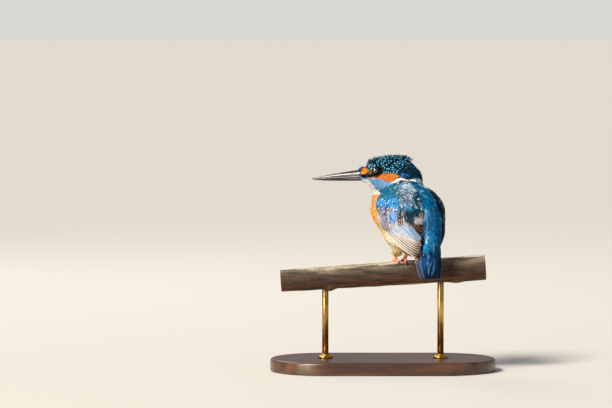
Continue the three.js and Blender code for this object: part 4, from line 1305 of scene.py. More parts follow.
def contour_look(places, tracts, colours, draw):
    """The look of each small feather by its tract."""
    count = len(places)
    mottled, even = np.isin(tracts, ["mantle", "back"]), np.isin(tracts, ["breast", "belly"])
    spread = np.select([mottled, even], [0.3, 0.12], 0.17)
    vary = 1 + (spread * draw.normal(size=count).clip(-2, 2))[:, None]
    own = colours * vary
    # Each feather is darker towards its base, partly its own grey base and partly painted shade where the
    # feathers above cover it, and a little lighter at the tip as a painted highlight.
    look = {
        "base": own * 0.5,
        "middle": own.copy(),
        "tip": own * 1.1,
        "edge": own * 0.8,
        "tip_from": np.full(count, 0.7),
        "edged": np.full(count, 0.4),
        "fringed": np.zeros(count),
    }
    chance = draw.random(count)
    head = in_skull(places)
    flat = wing_plane(places)

    def dress(mask, **parts):
        for key, value in parts.items():
            if np.ndim(value) == 2:
                value = value[mask]
            look[key][mask] = value

    crown = tracts == "crown"
    paler = fade("paler spots", head[:, 0])
    spot = mixed(0.15 + paler * 0.7, SPOT_AZURE[None], PALE_AZURE) * (0.95 + 0.45 * draw.random((count, 1)))
    dim = fade("dim behind", head[:, 0]) * fade("dim below", head[:, 2])
    spot = mixed(dim * 0.7, spot, ROYAL * 0.9)
    dress(crown, base=NIGHT, middle=NIGHT * 0.6 + CROWN_BLUE * 0.4 * vary, tip=spot, tip_from=0.62)
    dress(crown, edge=NIGHT, edged=0.9, fringed=0.8)
    plain = crown.copy()
    for behind, ahead, apart in SPOT_ZONES:
        part = crown & (head[:, 0] > behind) & (head[:, 0] <= ahead)
        plain[part] = ~spaced(places[part], apart, draw)
    dress(plain, tip=CROWN_BLUE * vary * 0.8)
    dress(crown & (head[:, 0] > 9), tip_from=0.5)
    crest = crown & (head[:, 0] < CREST["behind"] - 2) & (head[:, 2] > CREST["above"] + 1)
    dress(crest, middle=ROYAL * 0.5 + CROWN_BLUE * 0.4 * vary, tip=CERULEAN * vary * 1.2, edged=0.5)
    nape = tracts == "nape"
    dress(nape, base=NIGHT, tip=own * 1.3, edge=NIGHT, edged=0.6)
    dress(nape & (chance < 0.3), middle=NIGHT, tip=CROWN_BLUE)
    mantle = np.isin(tracts, ["mantle", "scapular"])
    # Pale silver-white tips scattered over the mantle, most of them on the near side: painted highlights of
    # the sun on glossy feathers.
    near_side = fade("near side", in_body(places)[:, 1])
    painted_glint_zone = fade("frost from", flat[:, 0]) * fade("frost to", flat[:, 0]) * fade("frost above", flat[:, 1])
    painted_glint = (tracts == "mantle") & (chance < (0.07 + 0.34 * painted_glint_zone) * (0.35 + 0.65 * near_side))
    dress(mantle, base=own * 0.3, edge=own * 0.4, edged=0.7, tip=own * 1.3)
    dress(painted_glint, tip=SILVER_LILAC * 0.3 + WHITE * 0.7, tip_from=0.5, middle=SILVER_LILAC * 0.6 + own * 0.4)
    low = mantle & (flat[:, 1] < 42) & (flat[:, 0] > -1)
    dress(low, middle=own * 0.9, tip=own * 1.1, edge=NIGHT, edged=0.7, fringed=0.9)
    # A third of the scapulars get silver-lilac tips: a painted sheen.
    sheen_tipped = (tracts == "scapular") & ~low & (chance < 0.3)
    dress(sheen_tipped, tip=SILVER_LILAC * 0.9, tip_from=0.6, middle=SILVER_LILAC * 0.4 + own * 0.5)
    covert = tracts == "covert"
    # Some coverts get white tips, more of them lower down: painted highlights over their azure.
    glint_share = 0.12 + 0.4 * fade("white tips below", flat[:, 1] + 0.25 * (flat[:, 0] + 12))
    dress(covert, base=own * 0.3, edge=own * 0.45, edged=0.6, tip=own * 1.25)
    dress(covert & (chance < glint_share), tip=WHITE * 0.75 + PALE_AZURE * 0.2, tip_from=0.7, edged=0.3)
    front = tracts == "front covert"
    dress(front, base=rgb("2a2630"), middle=rgb("6d6880") * vary)
    dress(front, tip=rgb("c4bfd2") * vary, edge=rgb("8c889c"))
    dress(front & (chance < 0.42), middle=rgb("2d2932"), tip=rgb("4a4450"), tip_from=0.8)
    dress(front & (chance > 0.8), middle=rgb("5a97c8"), tip=rgb("9cc4e6"))
    back = tracts == "back"
    dress(back, base=own * 0.45, edge=own * 0.55, edged=0.6, tip=own * 1.2)
    by_tail = fade("lit below", flat[:, 1])
    lit = 0.05 + 0.55 * fade("lit to", flat[:, 0]) * by_tail * fade("lit above", flat[:, 1])
    dress(back & (chance < lit * near_side), middle=own * 0.4 + PALE_AZURE * 0.6, tip=PALE_AZURE)
    dress(back & (chance > 0.88), middle=own * 0.45, tip=own * 0.6)
    # Back feathers next to the near wing are lightened to pale azure: painted light on the stripe's edge.
    lit_by_wing = back & (flat[:, 0] < 20.5) & (flat[:, 1] > 16) & (flat[:, 1] < 42) & (near_side > 0.5)
    painted_lit_azure = mixed(0.2 + 0.6 * draw.random(count), AZURE[None] * 1.25, PALE_AZURE)
    dress(lit_by_wing, base=AZURE, middle=painted_lit_azure, tip=painted_lit_azure * 1.2, edge=AZURE, edged=0.3)
    under = np.isin(tracts, ["breast", "belly", "vent", "throat", "neck patch", "ear"])
    dress(under, base=own * 0.9, edged=0.2)
    malar = tracts == "malar"
    dress(malar, edge=own * 0.5, edged=0.6)
    # A third of the malar feathers get pale azure tips: painted highlights.
    dress(malar & (chance < 0.3), tip=PALE_AZURE)
    dress(malar & (chance > 0.8), middle=own * 0.45)
    return look


def grow_coat(name, chosen, slot, *replaced, form=FIRM, section=DIAMOND):
    """One piece of small feathers from some of the roots."""
    draw = np.random.default_rng(COAT_SEED + sum(map(ord, name)))
    order = np.argsort(root_tracts[chosen], kind="stable")
    places, faces, tracts = roots[chosen][order], root_faces[chosen][order], root_tracts[chosen][order]
    splits = np.array([TRACTS[t]["split"] for t in tracts])
    index = np.repeat(np.arange(len(places)), splits)
    which = np.concatenate([np.arange(s) for s in splits])
    parted = splits[index] > 1
    fan = np.where(parted, (which - (splits[index] - 1) / 2) * TUFT_FAN, 0.0)
    fan = fan + draw.normal(0, UNEVEN["fan"], len(index))
    ways = lie(places, face_normals[faces])[index]
    head = in_skull(places)[index]
    crest = (head[:, 0] < CREST["behind"]) & (head[:, 2] > CREST["above"])
    crest_way = swung(np.array([CREST["way"]]), HEAD_TURN)
    ways = np.where(crest[:, None], unit(crest_way + draw.normal(0, UNEVEN["crest"], (len(index), 3))), ways)
    turned_up = np.where(crest[:, None], np.array([0.0, 0.0, 1.0]), face_normals[faces][index])
    ways = unit(ways * np.cos(fan)[:, None] + np.cross(turned_up, ways) * np.sin(fan)[:, None])

    def size(key):
        return np.array([TRACTS[t][key] for t in tracts])[index]

    raised = raised_by(places)[index]
    hangs = np.isin(tracts, ["belly", "vent", "thigh"]) * np.where(tracts == "vent", 0.45, 1)
    hung = (hanging(places) * hangs)[index]
    longer = 0.7 * raised + HANGING["longer"] * hung
    lengths = (size("long") + longer) * draw.uniform(*UNEVEN["length"], len(index))
    lifts = (size("lift") + raised + HANGING["raised"] * hung) * draw.uniform(*UNEVEN["lift"], len(index))
    halves = size("wide") / 2 * np.where(parted, 0.58, 1.0)
    along, shape = form["along"], form["shape"]
    centres, sides, ups = walk_feathers(places[index], ways, lengths, lifts, along, crest)
    widths = halves[:, None] * shape[None]
    thick = (0.03 + 0.05 * halves)[:, None] * np.minimum(1.0, shape / 0.3)[None]
    vertices, triangles = vane_mesh(centres, sides, ups, widths, thick, section)
    u = np.broadcast_to(section[0][None, None, :], vertices.shape[:3])
    v = np.broadcast_to(along[None, :, None], vertices.shape[:3])
    shown = centres[:, -3]
    colours_there, tracts_there = plumage(shown)
    shades = feather_colours(contour_look(shown, tracts_there, colours_there, draw), u, v)
    loose = np.broadcast_to(draw.random(len(index))[:, None, None], u.shape)
    vane = np.stack([u * halves[:, None, None], v * lengths[:, None, None], loose], -1)
    home = skin_uv(places, faces)[index]
    uv = home[:, None, None, :] + np.stack([u * 0.45, v - 0.5], -1) * TUFT_PATCH * 0.9
    coat_piece(name, vertices, triangles, shades, vane, uv, slot, *replaced)


roots, root_faces = spread_roots(apart_at, COAT_SEED, ROOT_TRIES)
root_tracts = plumage(roots)[1]
root_nodes = node_of(roots)
on_thigh = np.char.startswith(root_nodes, "thigh")
root_tracts[on_thigh] = "thigh"
under = np.isin(root_tracts, ["breast", "belly", "vent"])
top_of_head = np.isin(root_tracts, ["crown", "nape"])
on_head = root_nodes == "head"
on_neck = root_nodes == "neck"
on_trunk = np.isin(root_nodes, ["trunk", "tail"])
root_flat = wing_plane(roots)
front_edge = height_on(WING_FRONT, root_flat[:, 0])
by_quills = root_flat[:, 1] < height_on(COVERT_LINE, root_flat[:, 0]) - 2
from_quills = -folded_over(roots)[:, 1] - wing_panel.read(root_flat)
above_front = root_flat[:, 1] - front_edge
under_quills = by_quills & (above_front > -0.5) & (root_flat[:, 0] < 14.5) & (from_quills > -3)
grow_coat("crown_coat", on_head & top_of_head, "plumage_head", "head", section=WIDE_SECTION)
grow_coat("face_coat", on_head & ~top_of_head, "plumage_head", "head", form=SOFT)
grow_coat("neck_coat", on_neck & ~under, "plumage_neck", "neck")
grow_coat("upper_breast_coat", on_neck & under, "plumage_neck", "neck", form=SOFT)
grow_coat("breast_coat", on_trunk & (root_tracts == "breast"), "plumage_body", "trunk", form=SOFT)
below = on_trunk & under & (root_tracts != "breast") & ~under_quills
grow_coat("belly_coat", below, "plumage_body", "trunk", form=SOFT)
grow_coat("mantle_coat", on_trunk & ~under, "plumage_body", "trunk", "tail")
grow_coat("thigh_coat", on_thigh, "plumage_thigh", "thigh_left", "thigh_right", form=SOFT)
outward = np.array([[0, -1.0, 0], mirrored(np.array([0, -1.0, 0]) + FEET_AT) - FEET_AT])
faces_out = (face_normals[root_faces] @ outward.T).max(1) > 0.25
under_edge = (above_front < 0.5) & (root_flat[:, 0] > -10) & faces_out
off_wing = on_folded_wing(roots) < 0.5
under_edge |= off_wing & (above_front > -1.5) & (root_flat[:, 1] < 40) & faces_out
under_edge |= by_quills & (faces_out | (from_quills > -5))
for side in ("left", "right"):
    on_wing = (root_nodes == "wing_" + side) & ~under_edge
    grow_coat("shoulder_coat_" + side, on_wing, "plumage_wing", "wing_" + side)


# ------------------------------------------------------------------ wings
# Each folded wing is laid from the tip up, in rows that lap like slates: primaries, secondaries and tertials,
# then the coverts over their roots. Every quill lies over the one outside it, and the right wing mirrors the
# left in shape, with darker colours that are painted shade, since it faces away from the key light.
QUILL_RINGS = np.array([0, 0.1, 0.22, 0.36, 0.5, 0.64, 0.76, 0.85, 0.92, 0.965, 0.99, 1.0])
ROUND_TIP = np.array([0.3, 0.55, 0.8, 0.94, 1.0, 1.0, 0.97, 0.9, 0.76, 0.55, 0.3, 0.06])
SHOWN_RING, SHAFT_POINT = 7, 2
PATCH_MARGIN = 0.08
WING_SEED = 21
POINTED_TIP = np.array([0.3, 0.6, 0.86, 1.0, 0.97, 0.86, 0.7, 0.54, 0.38, 0.24, 0.14, 0.04])


def along_line(line, t):
    """Places at t from 0 to 1 along a line of points, by length."""
    line = np.array(line, float)
    steps = np.r_[0, np.cumsum(np.linalg.norm(np.diff(line, axis=0), axis=1))]
    return np.stack([np.interp(t * steps[-1], steps, line[:, k]) for k in (0, 1)], -1)


def lay_row(panel, row, draw):
    """A row of quills on a panel: vertices, triangles, flat places, vane places and lengths."""
    count = row["count"]
    t = np.linspace(0, 1, count)
    uneven = draw.normal(0, row.get("uneven", 0.15), (count, 3)).clip(-0.6, 0.6)
    start, end = along_line(row["roots"], t), along_line(row["tips"], t)
    way = unit(end - start)
    beside = np.stack([-way[:, 1], way[:, 0]], -1)
    end = end + way * uneven[:, 0:1] * 2 + beside * uneven[:, 1:2]
    start = start + beside * uneven[:, 2:3]
    s = QUILL_RINGS[None, :, None]
    bow = row.get("bow", 0) * 4 * s * (1 - s)
    spine = start[:, None] * (1 - s) + end[:, None] * s + beside[:, None] * bow
    across, rise = WIDE_SECTION
    u = np.broadcast_to(across[None, None, :], (count, len(QUILL_RINGS), len(across)))
    ragged = 1 + 0.05 * draw.normal(size=(count, len(QUILL_RINGS), 2)).clip(-2, 2)
    shape = row.get("shape", ROUND_TIP)[None, :, None]
    half = row["wide"] / 2 * shape * np.where(u > 0, ragged[..., :1], ragged[..., 1:])
    flat = spine[:, :, None, :] + beside[:, None, None, :] * (u * half)[..., None]
    low, high = row["lift"]
    sunk = row.get("rise", 0.25) * (1 - QUILL_RINGS)[None, :, None]
    lift = (low + (high - low) * t + draw.normal(0, 0.02, count))[:, None, None] - sunk
    tilt = row.get("tilt", -0.12) * u
    thin = 0.06 * np.minimum(1, shape / 0.5)
    vertices = panel.place(flat, lift + tilt + rise[None, None, :] * thin)
    lengths = np.linalg.norm(end - start, axis=1)
    v = np.broadcast_to(QUILL_RINGS[None, :, None], u.shape)
    return vertices, loft_faces(count, len(QUILL_RINGS), len(across)), flat, u, v, lengths


def quill_colours(row, flat, u, v, draw):
    """A quill's colours from its place, with painted highlights of pale azure on some, painted shade on the
    half that lies under its neighbour, and a pale outer edge and tip.
    """
    count = len(flat)
    vary = 1 + row.get("vary", 0.1) * draw.normal(size=(count, 1, 1, 1)).clip(-2, 2)
    middle = flat[:, SHOWN_RING, SHAFT_POINT]
    read_at = np.broadcast_to(middle[:, None, None], flat.shape) if row.get("whole") else flat
    colours = row["paint"](read_at.reshape(-1, 2)).reshape(*u.shape, 3) * vary
    low, high = row.get("lit_between", (-99, 99))
    may = (middle[:, 0] > low) & (middle[:, 0] < high)
    lit = (may & (draw.random(count) < row.get("lit", 0.0)))[:, None, None] * smoothstep(0.9, 0.2, np.abs(u))
    colours = mixed(lit * 0.65 * smoothstep(0.3, 0.6, v), colours, PALE_AZURE)
    colours = mixed(0.55 * smoothstep(0.0, 0.9, u * row.get("hand", 1)), colours, colours * 0.1)
    edge = rgb(row["edge"])
    plain = 1 - row.get("dark_patch", 0) * in_outline(read_at.reshape(-1, 2), PETROL, 0.6).reshape(u.shape)
    edge_from = -row.get("edge_from", 0.55)
    outer = smoothstep(edge_from + 0.15, edge_from - 0.15, u * row.get("hand", 1))
    colours = mixed(outer * row.get("edged", 0.6) * plain, colours, edge)
    at_tip = smoothstep(row.get("tip_from", 0.93), 1.0, v)
    return mixed(at_tip * row.get("tipped", 0.4) * plain, colours, edge)


# Rows from the deepest to the top: primaries, secondaries, tertials, then front, greater and median coverts,
# and long scapulars. A lift is from the wing's own surface, for the outermost and the innermost quill.
WING_ROWS = [
    {"count": 8, "roots": [(-14, 27), (-4, 32)],
     "tips": [(12.2, 5.0), (14.0, 7.6), (14.6, 11.6), (14.4, 15.2), (13.2, 18.0)], "wide": 4.8, "bow": -0.8,
     "lift": (-0.25, 0.2), "uneven": 0.1, "edge": "fbf3ea", "edged": 1.0, "edge_from": 0.72, "tipped": 0.3,
     "vary": 0.08},
    {"count": 10, "roots": [(-12, 31), (-4, 36), (3, 38)],
     "tips": [(8.6, 20.6), (12.0, 19.4), (14.2, 18.6), (14.8, 20.4)], "wide": 4.4, "bow": -0.6,
     "lift": (0.2, 0.55), "uneven": 0.1, "edge": "dbe3ee", "edged": 0.5, "edge_from": 0.7, "tipped": 0.1,
     "vary": 0.05},
    {"count": 5, "roots": [(2, 38), (9, 41)],
     "tips": [(13.2, 20.0), (14.4, 21.6), (15.2, 24.4), (15.4, 27.4), (15.2, 30.4)], "wide": 3.8, "bow": -0.4,
     "lift": (0.55, 0.5), "dark_patch": 0.9, "edge": "a87f60",
     "edged": 0.55, "edge_from": 0.84, "tipped": 0.4},
    {"count": 7, "roots": [(-18.5, 37), (-12, 37)],
     "tips": [(-12.8, 24.6), (-9.8, 26.2), (-7, 28.4)], "wide": 2.6, "bow": -0.2,
     "lift": (0.15, 0.35), "edge": "c9c2d2", "edged": 0.5, "vary": 0.3},
    {"count": 13, "roots": [(-15, 38), (6, 42)],
     "tips": [(-11.4, 27.2), (-8.5, 28.4), (-5.5, 29.6), (-2.5, 30.2), (0.6, 31.6), (4, 32)], "wide": 2.6,
     "lift": (0.5, 0.65), "rise": 1.2, "uneven": 0.3, "whole": True, "dark_patch": 0.9, "edge": "f2dcc6",
     "edged": 0.8, "edge_from": 0.7, "tip_from": 0.92, "tipped": 0.7, "vary": 0.2},
    {"count": 12, "roots": [(-16, 42), (3, 46)],
     "tips": [(-14.4, 31.6), (-10.5, 32.6), (-6.5, 34), (-2.5, 35.4), (1, 37)], "wide": 2.4,
     "lift": (0.62, 0.75), "rise": 1.7, "uneven": 0.4, "whole": True, "dark_patch": 0.9, "edge": "d9d6e4",
     "edged": 0.6, "edge_from": 0.65, "tip_from": 0.88, "tipped": 0.5, "vary": 0.25},
    {"count": 8, "roots": [(4, 44), (14.5, 46)],
     "tips": [(5.4, 32.6), (8.6, 32.4), (11.0, 32.2), (13.0, 32.4), (14.4, 33.2), (15.2, 35)], "wide": 3.0,
     "lift": (0.78, 0.6), "rise": 1.8, "uneven": 0.3, "dark_patch": 0.9, "edge": "edd2b8",
     "edged": 0.6, "edge_from": 0.72, "tip_from": 0.92, "tipped": 0.7, "vary": 0.2},
]


def row_piece(name, panel, rows, paint_with, seed, slot, replaced, mirror=False):
    """All of a panel's rows as one piece, each quill with its own patch of the bake map."""
    draw = np.random.default_rng(seed)
    parts, total = [], sum(row["count"] for row in rows)
    columns = math.ceil(math.sqrt(total))
    at, number = 0, 0
    for row in rows:
        vertices, faces, flat, u, v, lengths = lay_row(panel, row, draw)
        colours = quill_colours({"paint": paint_with, **row}, flat, u, v, draw)
        half = row["wide"] / 2
        loose = np.broadcast_to(draw.random(row["count"])[:, None, None], u.shape)
        vane = np.stack([u * half, v * lengths[:, None, None], loose], -1)
        cells = number + np.arange(row["count"])
        corner = np.stack([cells % columns, cells // columns], -1)[:, None, None, :]
        inside = np.stack([0.5 + (0.5 - PATCH_MARGIN) * u, PATCH_MARGIN + (1 - 2 * PATCH_MARGIN) * v], -1)
        uv = (corner + inside) / columns
        parts.append([a.reshape(-1, a.shape[-1]) for a in (vertices, colours, vane, uv)] + [faces + at])
        at += vertices.reshape(-1, 3).shape[0]
        number += row["count"]
    vertices, colours, vane, uv, faces = (np.concatenate(p) for p in zip(*parts))
    if mirror:
        vertices, faces = mirrored(vertices), faces[:, ::-1]
    coat_piece(name, vertices, faces, colours, vane, uv, slot, replaced)


# The far wing's colours are sunk seven tenths of the way to near-black green: painted shade.
def shaded_far_wing_paint(flat):
    return mixed(np.full(len(flat), 0.7), wing_paint(flat), SHADED_FAR_GREEN)


# The far wing's quill edges are a darker rusty brown: partly their own colour and partly painted shade.
shaded_far_rows = [{**row, "edge": "6a5244"} for row in WING_ROWS]
for side, rows, paint_with, mirror in (
    ("left", WING_ROWS, wing_paint, False),
    ("right", shaded_far_rows, shaded_far_wing_paint, True),
):
    name = "wing_feathers_" + side
    row_piece(name, wing_panel, rows, paint_with, WING_SEED, "plumage_wing", "wing_" + side, mirror)


# ------------------------------------------------------------------ tail
# Ten short rectrices hang straight down in a closed fan, with the middle pair on top, and narrower ones close
# each side. Long blue coverts cover them nearly to their tips, and orange undertail coverts lie below them
# and show along each side.
def undertail_paint(flat):
    return np.full((len(flat), 3), rgb("c07a42"))


def outer_tail_paint(flat):
    """Slate blue, darker to the tip, and near black where it lies under the wing as painted shade."""
    slate = mixed(fade("slate tip", flat[:, 1]) * 0.6, np.full((len(flat), 3), rgb("27446e")), rgb("081e3e"))
    return mixed(fade("under wing", flat[:, 1]), slate, NIGHT)


TAIL_HEADING = BODY_TURN - math.pi / 2
TAIL_SEEDS = {"top": 33, "side": 34, "under": 35}
tail_panel = Panel(TAIL_HEADING, ["tail", "trunk"], (-18, 18), (-18, 40))
TAIL_ROWS = []
for pair in range(4, -1, -1):
    for side in (-1, 1):
        TAIL_ROWS.append(
            {"count": 1, "roots": [(side * (0.7 + 0.8 * pair), 15), (0, 15)],
             "tips": [(side * (1.7 + 1.75 * pair), -12.5 + 0.05 * pair**2), (0, 0)], "wide": 5.6,
             "lift": (0.16 * (5 - pair) - 0.95, 0), "rise": 0.1, "tilt": -0.06 * side, "hand": -side,
             "uneven": 0.05, "edge": "1c4c86", "edged": 0.3, "tipped": 0.0}
        )
for k in range(8):
    up = k / 7
    TAIL_ROWS.append(
        {"count": 17 + k % 2, "wide": 2.3, "shape": POINTED_TIP, "uneven": 0.5, "vary": 0.3,
         "roots": [(8.4, 10 + 13 * up), (0, 11 + 14 * up), (-7.4, 10 + 13 * up)],
         "tips": [(9.4, -5.5 + 15 * up), (5, -8.5 + 16 * up), (0, -9.6 + 16.4 * up), (-5, -8.5 + 16 * up),
                  (-8.2, -5.5 + 15 * up)],
         "lit": 0.3, "lit_between": (-7, 0.5), "lift": (0.05 + 0.5 * up, 0.05 + 0.5 * up),
         "rise": 0.3 + 0.7 * up, "tilt": 0.0, "hand": 0.0, "edge": "0b4a74", "edged": 0.0, "tipped": 0.2}
    )
under_tail_panel = Panel(TAIL_HEADING + math.pi, ["tail"], (-18, 18), (-18, 24))
UNDER_TAIL_ROWS = [
    {"count": 8 + k % 2, "roots": [(-6.6, 4.5), (6.6, 4.5)], "shape": POINTED_TIP,
     "tips": [(1.2 * k - 9.6, 4.5 * k - 10), (9.6 - 1.2 * k, 4.5 * k - 10)], "wide": 3.6,
     "lift": (0.45 + 0.3 * k, 0.45 + 0.3 * k), "rise": 0.0, "tilt": 0.0, "uneven": 0.35, "vary": 0.12,
     "edge": "e9c99a", "edged": 0.2}
    for k in range(3)
]
tail_side_panel = Panel(0.0, ["tail", "trunk", "thigh_left"], (0, 40), (-18, 24))
TAIL_SIDE_ROWS = [
    {"count": 2, "roots": [(8.6, 11), (9.6, 11)], "tips": [(14.0, -10.6), (15.0, -11.8)], "wide": 2.2,
        "lift": (-0.9, -0.8), "rise": 0.1, "tilt": 0.0, "uneven": 0.05, "vary": 0.05, "edge": "e9c99a",
        "edged": 0.4, "paint": undertail_paint},
    {"count": 4, "roots": [(9.9, 10.5), (14.5, 11)], "tips": [(15.0, -11.8), (18.4, -12.5)],
     "wide": 3.0, "lift": (-0.3, 0.1), "rise": 0.8, "uneven": 0.3, "edge": "8ea0c4", "edged": 0.3,
     "edge_from": 0.8, "tipped": 0.1, "vary": 0.3},
]


def tail_paint(flat):
    """Azure on the left to deep teal on the right as painted light, the left side lit and the right shaded,
    and dark royal blue towards the tip.
    """
    across, up = flat[:, 0], flat[:, 1]
    left = fade("tail left", across + 0.1 * up)
    teal = np.repeat((TEAL * 0.3 + CERULEAN * 0.08)[None] * [0.3, 1, 1], len(flat), 0)
    colours = mixed(left * 0.8, teal, AZURE * 0.6)
    colours = mixed(fade("tail right", across) * 0.9, colours, DEEP_TEAL * 0.7)
    royal = fade("royal below", up) * fade("royal left", across)
    colours = mixed(royal * 0.6, colours, rgb("0f4588"))
    return mixed(fade("tail tip", up) * 0.92, colours, rgb("041c3a"))


row_piece("tail_feathers", tail_panel, TAIL_ROWS, tail_paint, TAIL_SEEDS["top"], "plumage_tail", "tail")
seed, under_rows = TAIL_SEEDS["under"], UNDER_TAIL_ROWS
row_piece("undertail_coverts", under_tail_panel, under_rows, undertail_paint, seed, "plumage_tail", "tail")
for side, mirror in (("left", False), ("right", True)):
    name, seed = "tail_side_" + side, TAIL_SEEDS["side"]
    row_piece(name, tail_side_panel, TAIL_SIDE_ROWS, outer_tail_paint, seed, "plumage_tail", "tail", mirror)


# ------------------------------------------------------------------ bill
# A straight black dagger of horn in two halves that meet at the mouth line. It is smooth and glossy, with a
# blunt ridge on top, a slit nostril near the feathers, faint growth lines and a painted pale sheen streak
# near the base of each half.
BILL = {"root": 13.5, "feathers": 22.3, "tip": 60.2, "mouth_drop": 2.6, "droop": 3.6, "half": 4.1, "end": 0.3}
MANDIBLES = {"bill_upper": (1, 4.6, 0.86), "bill_lower": (-1, 4.0, 0.45)}
BILL_STEPS, BILL_SIDES = 90, 24
NOSTRIL = {"from": 24.2, "long": 5.3, "deep": 0.4, "slant": 1.2, "heading": 38}
horn, tree, shader = new_material("horn", 0.28, Coat_Weight=0.35, Coat_Roughness=0.2)
growth = grain(tree, 160.0, (4, 1, 1), 5.0)
streak = grain(tree, 240.0, (0.25, 1, 1), 4.0)
tone = ramp(tree, streak, [(0.3, "0e0d0e"), (0.55, "1f1d1e"), (0.78, "3a3736")])
sheen_streaked = mix_colour(tree, attribute(tree, "pale")["Fac"], tone, "8b8d92")
tree.links.new(sheen_streaked, shader.inputs["Base Color"])
bump(tree, growth, 0.25, 0.0001, shader)


def placed_on_skull(ring):
    """A ring from the skull's own millimetres, in the row."""
    return [tuple(p) for p in from_skull(np.array(ring)) * MM]


for node, (up, high, taper) in MANDIBLES.items():
    fall = math.tan(math.radians(BILL["droop"]))
    rings, pale = [], []
    for k in range(BILL_STEPS + 1):
        f = BILL["root"] + (BILL["tip"] - BILL["root"]) * k / BILL_STEPS
        left = 1 - max(f - BILL["feathers"], 0) / (BILL["tip"] - BILL["feathers"])
        tall = max(high * left**taper, BILL["end"])
        wide = max(BILL["half"] * left**0.95, BILL["end"])
        line = -BILL["mouth_drop"] - fall * (f - BILL["feathers"]) + up * 0.08
        ring = []
        for i in range(BILL_SIDES + 1):
            turn = math.pi * i / BILL_SIDES
            rise = math.sin(turn) ** 0.92
            ridge = 0.25 * left * math.exp(-(((turn - math.pi / 2) / 0.3) ** 2)) if up > 0 else 0
            slit = 0.0
            past = f - NOSTRIL["from"]
            if up > 0 and 0 < past < NOSTRIL["long"]:
                deep = NOSTRIL["deep"] * math.sin(math.pi * past / NOSTRIL["long"])
                middle_of = math.radians(NOSTRIL["heading"] + past * NOSTRIL["slant"])
                for at in (middle_of, math.pi - middle_of):
                    slit -= deep * math.exp(-(((turn - at) / 0.13) ** 2))
            groove = -0.12 * left * math.exp(-(((rise - 0.3) / 0.12) ** 2))
            out = 1 + (slit + groove) / BILL["half"]
            ring.append((f, wide * math.cos(turn) * out, line + up * ((tall + ridge) * rise * out)))
            # A pale grey streak near the base along each half: a painted sheen.
            level = 0.35 if up > 0 else 0.5
            near = math.exp(-((f - 25) / 7) ** 2) * math.exp(-(((rise - level) / 0.2) ** 2))
            pale.append(0.42 * near)
        rings.append(ring if up > 0 else ring[::-1])
        if up < 0:
            pale[-(BILL_SIDES + 1) :] = pale[-(BILL_SIDES + 1) :][::-1]
    vertices, faces = loft([placed_on_skull(ring) for ring in rings])
    bill = add_mesh("horn_" + node, vertices, [f[::-1] for f in faces])
    mark = bill.data.attributes.new("pale", "FLOAT", "POINT")
    mark.data.foreach_set("value", pale + [0.0, 0.0])
    bill.data.materials.append(horn)
    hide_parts(node)
    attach(bill, "root")


# ------------------------------------------------------------------ eyes
# A glossy dark brown eyeball with a black pupil in each socket, held by a lid ring of bare scaly skin that
# closes in a little above and below.
EYE_RADIUS = 3.2
EYE_RINGS, EYE_SIDES, LID_STEPS = 40, 48, 72
PUPIL_LEAN = 0.4
LID_SECTION = [
    (-0.25, 1.2), (0.0, 0.6), (0.08, 0.12), (0.22, -0.05), (0.32, 0.1), (0.3, 0.4), (0.2, 0.75), (-0.1, 1.6)
]
eye_glass, tree, shader = new_material("eye_glass", 0.02, Specular_IOR_Level=1.0, Coat_Weight=1.0)
tree.links.new(attribute(tree, "iris")["Color"], shader.inputs["Base Color"])
lid_skin, tree, shader = new_material("lid_skin", 0.7)
scales = grain(tree, 2600.0, (1, 1, 1), 2.0)
tree.links.new(ramp(tree, scales, [(0.3, "050506"), (0.7, "141313")]), shader.inputs["Base Color"])
bump(tree, scales, 0.6, 0.0001, shader)


def iris_tint(lean):
    """A black pupil, a dark brown iris, and black again beyond its rim, by the lean from the eye's axis."""
    if lean < PUPIL_LEAN:
        return rgb("030202")
    rim = smoothstep(0.62, 0.75, lean)
    return rgb("100704") * (1 - rim) + rgb("050404") * rim


for side, name in ((1, "left"), (-1, "right")):
    centre = EYE_IN_SKULL * [1, side, 1]
    axis = unit(np.array([0.32, 0.93 * side, 0.12]))
    across = unit(np.cross([0, 0, 1.0], axis))
    over = np.cross(axis, across)
    rings, colours = [], []
    for k in range(1, EYE_RINGS):
        lean = math.pi * k / EYE_RINGS
        bulge = EYE_RADIUS + 0.16 * math.exp(-((lean / 0.55) ** 2))
        ring = []
        for i in range(EYE_SIDES):
            turn = 2 * math.pi * i / EYE_SIDES
            way = across * math.cos(turn) + over * math.sin(turn)
            ring.append(centre + bulge * (axis * math.cos(lean) + way * math.sin(lean)))
        colours += [iris_tint(lean)] * EYE_SIDES
        rings.append(placed_on_skull(ring))
    colours += [rgb("050404"), rgb("080605")]
    ball = add_mesh("eyeball_" + name, *loft(rings))
    colour_points(ball.data, "iris", np.array(colours))
    ball.data.materials.append(eye_glass)
    vertices, faces = [], []
    count = len(LID_SECTION)
    for i in range(LID_STEPS):
        turn = 2 * math.pi * i / LID_STEPS
        way = across * math.cos(turn) + over * math.sin(turn)
        tall = abs(math.sin(turn))
        opening = math.radians(48 - 10 * tall**1.5)
        ring = []
        for lift, back in LID_SECTION:
            lean = opening + back / EYE_RADIUS
            bumpy = 0.04 * math.sin(turn * 31) * (0 < back < 1.5)
            ring.append(centre + (EYE_RADIUS + lift + bumpy) * (axis * math.cos(lean) + way * math.sin(lean)))
        vertices += placed_on_skull(ring)
        after = (i + 1) % LID_STEPS
        for k in range(count):
            beside = (k + 1) % count
            faces.append((i * count + k, i * count + beside, after * count + beside, after * count + k))
    lid = add_mesh("eyelid_" + name, vertices, faces)
    work = bmesh.new()
    work.from_mesh(lid.data)
    bmesh.ops.recalc_face_normals(work, faces=work.faces)
    work.to_mesh(lid.data)
    work.free()
    lid.data.materials.append(lid_skin)
    for piece in (ball, lid):
        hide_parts("eye_" + name)
        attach(piece, "root")


